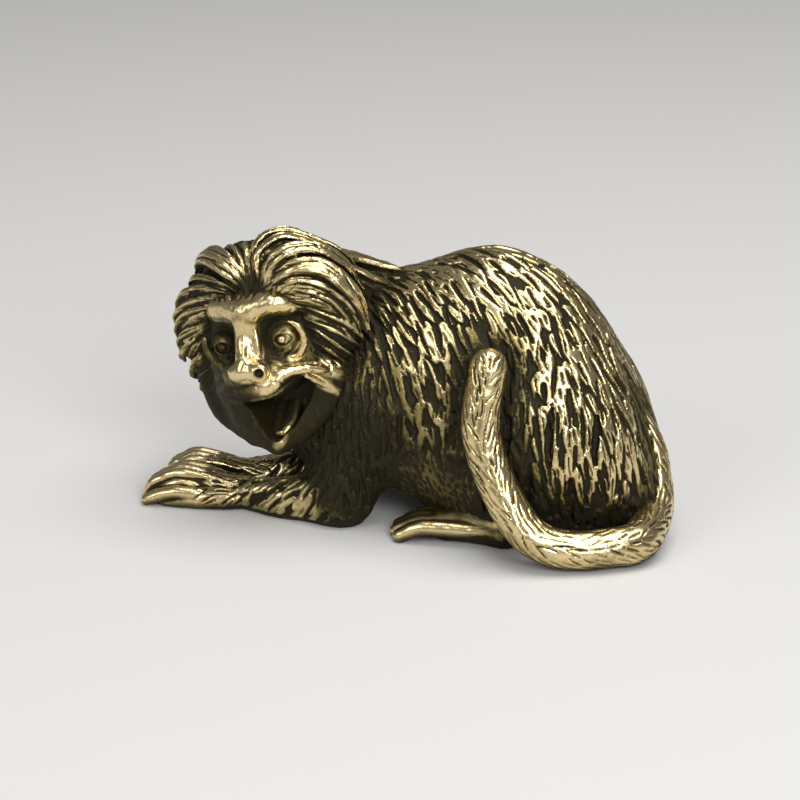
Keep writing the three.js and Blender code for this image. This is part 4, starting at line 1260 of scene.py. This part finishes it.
def add_patina_and_shade(castings):
    """Darkens grooves and hollows with patina, sheltered places with patina and painted shade, faces that look down
    with painted shade, from the shape alone; wear and painted highlights stay bright.
    """
    cell = 0.4
    solid, low = fill_solid(castings, cell, 8.0)
    wide = shelter(castings, solid, low, cell, 5, 1.2)
    close = shelter(castings, solid, low, cell, 2, 0.7)
    for casting, far, near in zip(castings, wide, close):
        groove = smoothstep(0.025, 0.18, casting.cut)
        fine, middle, broad = casting.hollows([0.22, 0.45, 0.85])
        pits = smoothstep(-0.005, 0.035, fine)
        dips = smoothstep(0.0, 0.10, middle)
        bowls = smoothstep(0.03, 0.25, broad)
        # Shelter: patina that gathers in sheltered places, and painted shade where shade falls in them
        covered = smoothstep(0.34, 0.62, far)
        crevice = smoothstep(0.32, 0.6, near)
        bare_and_unshaded = (1 - 0.95 * groove) * (1 - 0.75 * pits) * (1 - 0.7 * dips) * (1 - 0.6 * bowls)
        # Darker on faces that look down: painted shade
        below = 0.45 * smoothstep(0.35, -0.6, casting.normals()[:, 2])
        bare_and_unshaded = bare_and_unshaded * (1 - 0.85 * covered) * (1 - 0.7 * crevice) * (1 - below)
        casting.dark = 1 - np.maximum(bare_and_unshaded * (1 - casting.tarnish_and_shade), casting.wear_and_highlight * (1 - 0.9 * groove))


# Materials


def new_group(name, inputs, outputs):
    group = bpy.data.node_groups.new(name, "ShaderNodeTree")
    for label, kind in inputs:
        group.interface.new_socket(label, in_out="INPUT", socket_type=kind)
    for label, kind in outputs:
        group.interface.new_socket(label, in_out="OUTPUT", socket_type=kind)
    return group


def aged_brass_group():
    """Shared colours: bright metal on the high places and on painted highlights, brown to black patina in the low ones
    and in painted shade.
    """
    colour, value = "NodeSocketColor", "NodeSocketFloat"
    group = new_group(
        "Aged brass",
        [("Bright", colour), ("Tarnish", colour), ("Patina", colour), ("Glint fleck", colour), ("Polish", value)],
        [("Color", colour), ("Roughness", value), ("Metallic", value), ("Height", value)],
    )
    nodes, links = group.nodes, group.links
    given = nodes.new("NodeGroupInput")
    result = nodes.new("NodeGroupOutput")
    place = nodes.new("ShaderNodeTexCoord")
    # The point darkness: patina and painted shade, lowered by wear and painted highlights
    dark = nodes.new("ShaderNodeAttribute")
    dark.attribute_name = "patina_and_shade"

    def noise(scale, detail, roughness=0.6):
        node = nodes.new("ShaderNodeTexNoise")
        node.inputs["Scale"].default_value = scale
        node.inputs["Detail"].default_value = detail
        node.inputs["Roughness"].default_value = roughness
        links.new(place.outputs["Object"], node.inputs["Vector"])
        return node.outputs["Fac"]

    def math_node(operation, a, b, clamp=False):
        node = nodes.new("ShaderNodeMath")
        node.operation = operation
        node.use_clamp = clamp
        for socket, entry in zip(node.inputs, (a, b)):
            if isinstance(entry, (int, float)):
                socket.default_value = entry
            else:
                links.new(entry, socket)
        return node.outputs[0]

    def ramp(source, low, high, to_low=0.0, to_high=1.0):
        node = nodes.new("ShaderNodeMapRange")
        node.interpolation_type = "SMOOTHSTEP"
        for label, number in zip(("From Min", "From Max", "To Min", "To Max"), (low, high, to_low, to_high)):
            node.inputs[label].default_value = number
        links.new(source, node.inputs["Value"])
        return node.outputs["Result"]

    def mix(fac, a, b):
        node = nodes.new("ShaderNodeMix")
        node.data_type = "RGBA"
        links.new(fac, node.inputs["Factor"])
        links.new(a, node.inputs[6])
        links.new(b, node.inputs[7])
        return node.outputs[2]

    cloud = noise(300.0, 5.0)
    grit = noise(2600.0, 4.0)
    crumbs = noise(4200.0, 2.0)
    uneven = math_node("ADD", math_node("MULTIPLY", cloud, 0.6), math_node("MULTIPLY", grit, 0.3))
    level = math_node("ADD", dark.outputs["Fac"], math_node("SUBTRACT", uneven, 0.4))
    level = math_node("SUBTRACT", level, given.outputs["Polish"])
    tarnished = ramp(level, 0.08, 0.5)
    blackened = ramp(level, 0.42, 0.8)
    # Grey flecks in the darkest places, painted as glints of the rough cast, also made shinier and metallic
    fleck_glints = math_node("MULTIPLY", ramp(crumbs, 0.64, 0.76), ramp(level, 0.7, 1.0))
    lower = mix(fleck_glints, given.outputs["Patina"], given.outputs["Glint fleck"])
    upper = mix(tarnished, given.outputs["Bright"], given.outputs["Tarnish"])
    links.new(mix(blackened, upper, lower), result.inputs["Color"])
    rough = math_node("SUBTRACT", ramp(level, 0.1, 0.85, 0.27, 0.6), math_node("MULTIPLY", fleck_glints, 0.25))
    links.new(rough, result.inputs["Roughness"])
    links.new(math_node("MAXIMUM", ramp(level, 0.4, 0.95, 1.0, 0.35), fleck_glints), result.inputs["Metallic"])
    links.new(math_node("ADD", math_node("MULTIPLY", grit, 0.6), cloud), result.inputs["Height"])
    return group


def brass(name, group, bright, tarnish, patina_and_shade, glint_fleck, polish):
    material = bpy.data.materials.new(name)
    material.use_nodes = True
    nodes, links = material.node_tree.nodes, material.node_tree.links
    shader = nodes["Principled BSDF"]
    finish = nodes.new("ShaderNodeGroup")
    finish.node_tree = group
    finish.inputs["Bright"].default_value = (*bright, 1)
    finish.inputs["Tarnish"].default_value = (*tarnish, 1)
    finish.inputs["Patina"].default_value = (*patina_and_shade, 1)
    finish.inputs["Glint fleck"].default_value = (*glint_fleck, 1)
    finish.inputs["Polish"].default_value = polish
    bump = nodes.new("ShaderNodeBump")
    bump.inputs["Strength"].default_value = 0.4
    bump.inputs["Distance"].default_value = 0.00007
    shader.inputs["Specular IOR Level"].default_value = 0.25
    links.new(finish.outputs["Color"], shader.inputs["Base Color"])
    links.new(finish.outputs["Roughness"], shader.inputs["Roughness"])
    links.new(finish.outputs["Metallic"], shader.inputs["Metallic"])
    links.new(finish.outputs["Height"], bump.inputs["Height"])
    links.new(bump.outputs["Normal"], shader.inputs["Normal"])
    return material


def plain(name, colour, roughness):
    material = bpy.data.materials.new(name)
    material.use_nodes = True
    shader = material.node_tree.nodes["Principled BSDF"]
    shader.inputs["Base Color"].default_value = (*colour, 1)
    shader.inputs["Roughness"].default_value = roughness
    return material


# Scene


def place_casting(casting, materials):
    points = (casting.points + SHIFT) * METRE
    mesh = bpy.data.meshes.new(casting.name)
    mesh.from_pydata(points.tolist(), [], casting.quads.tolist() + casting.caps.tolist())
    mesh.shade_smooth()
    if casting.shading is not None:
        mesh.normals_split_custom_set_from_vertices(casting.shading.tolist())
    # Darkness of each point: patina and painted shade, lowered by wear and painted highlights
    patina_and_shade = mesh.attributes.new("patina_and_shade", "FLOAT", "POINT")
    patina_and_shade.data.foreach_set("value", casting.dark.astype(np.float32))
    mesh.materials.append(materials[casting.slot])
    piece = bpy.data.objects.new(f"cast_{casting.name}", mesh)
    bpy.context.collection.objects.link(piece)
    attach(piece, "root")
    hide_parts(*casting.nodes)


def place_floor():
    size = 2.0
    mesh = bpy.data.meshes.new("floor")
    corners = [(-size, -size, 0), (size, -size, 0), (size, size, 0), (-size, size, 0)]
    mesh.from_pydata(corners, [], [(0, 1, 2, 3)])
    mesh.materials.append(plain("Floor paper", (0.7, 0.69, 0.67), 0.8))
    floor = bpy.data.objects.new("floor", mesh)
    bpy.context.collection.objects.link(floor)


def aim(thing, place, target):
    thing.location = place
    thing.rotation_euler = (Vector(target) - Vector(place)).to_track_quat("-Z", "Y").to_euler()


def place_light(name, place, size, power):
    lamp = bpy.data.lights.new(name, "AREA")
    lamp.size = size
    lamp.energy = power
    light = bpy.data.objects.new(name, lamp)
    bpy.context.collection.objects.link(light)
    aim(light, place, (0, 0, 0.01))


def place_camera():
    lens = bpy.data.cameras.new("camera")
    lens.lens = CAMERA_LENS
    lens.sensor_width = 36
    lens.clip_start = 0.01
    camera = bpy.data.objects.new("camera", lens)
    bpy.context.collection.objects.link(camera)
    aim(camera, tuple((CAMERA_PLACE + SHIFT) * METRE), tuple((CAMERA_TARGET + SHIFT) * METRE))
    bpy.context.scene.camera = camera


def light_scene():
    world = bpy.data.worlds.new("studio")
    bpy.context.scene.world = world
    world.use_nodes = True
    world.node_tree.nodes["Background"].inputs["Color"].default_value = (0.15, 0.15, 0.155, 1)
    place_light("top softbox", (0.08, -0.02, 0.36), 0.3, 1.1)
    place_light("right softbox", (0.22, -0.36, 0.26), 0.22, 1.2)
    place_light("left softbox", (-0.24, -0.34, 0.24), 0.24, 0.5)
    bpy.context.scene.view_settings.view_transform = "Standard"


group = aged_brass_group()
# The fourth colour of each is the grey of the flecks painted as glints
MATERIALS = {
    "antique_brass": brass(
        "antique_brass", group, (0.82, 0.655, 0.35), (0.22, 0.175, 0.065), (0.022, 0.017, 0.0055),
        (0.11, 0.11, 0.095), 0.0
    ),
    "blackened_brass": brass(
        "blackened_brass", group, (0.42, 0.33, 0.15), (0.10, 0.08, 0.035), (0.012, 0.012, 0.009),
        (0.1, 0.1, 0.09), -0.05
    ),
}

tree = hair_tree()
finish = MATERIALS["antique_brass"]
body = model_body()
castings = [model_hand(side) for side in SIDES]
castings += [model_foot(side) for side in SIDES]
castings.append(model_tail())
castings.append(model_head())
castings += [model_eye("left", 1), model_eye("right", -1), model_tongue()]
castings.append(model_mane("mane_left", MANE_LEFT, tree, finish))
castings.append(model_mane("mane_right", MANE_RIGHT, tree, finish))
castings.append(model_mane("mane_nape", nape_locks() + SHOULDER_LOCKS, tree, finish, 0.11))
rng = np.random.default_rng(SEED + 5)
for casting in [body] + castings:
    casting.roughen(rng, CAST_DEPTH)
add_patina_and_shade([body] + castings)
for casting in split_body(body) + castings:
    place_casting(casting, MATERIALS)
    print(casting.name, len(casting.quads) * 2 + len(casting.caps), "triangles", len(np.unique(casting.caps[:, 2])), "caps")

place_floor()
place_camera()
light_scene()
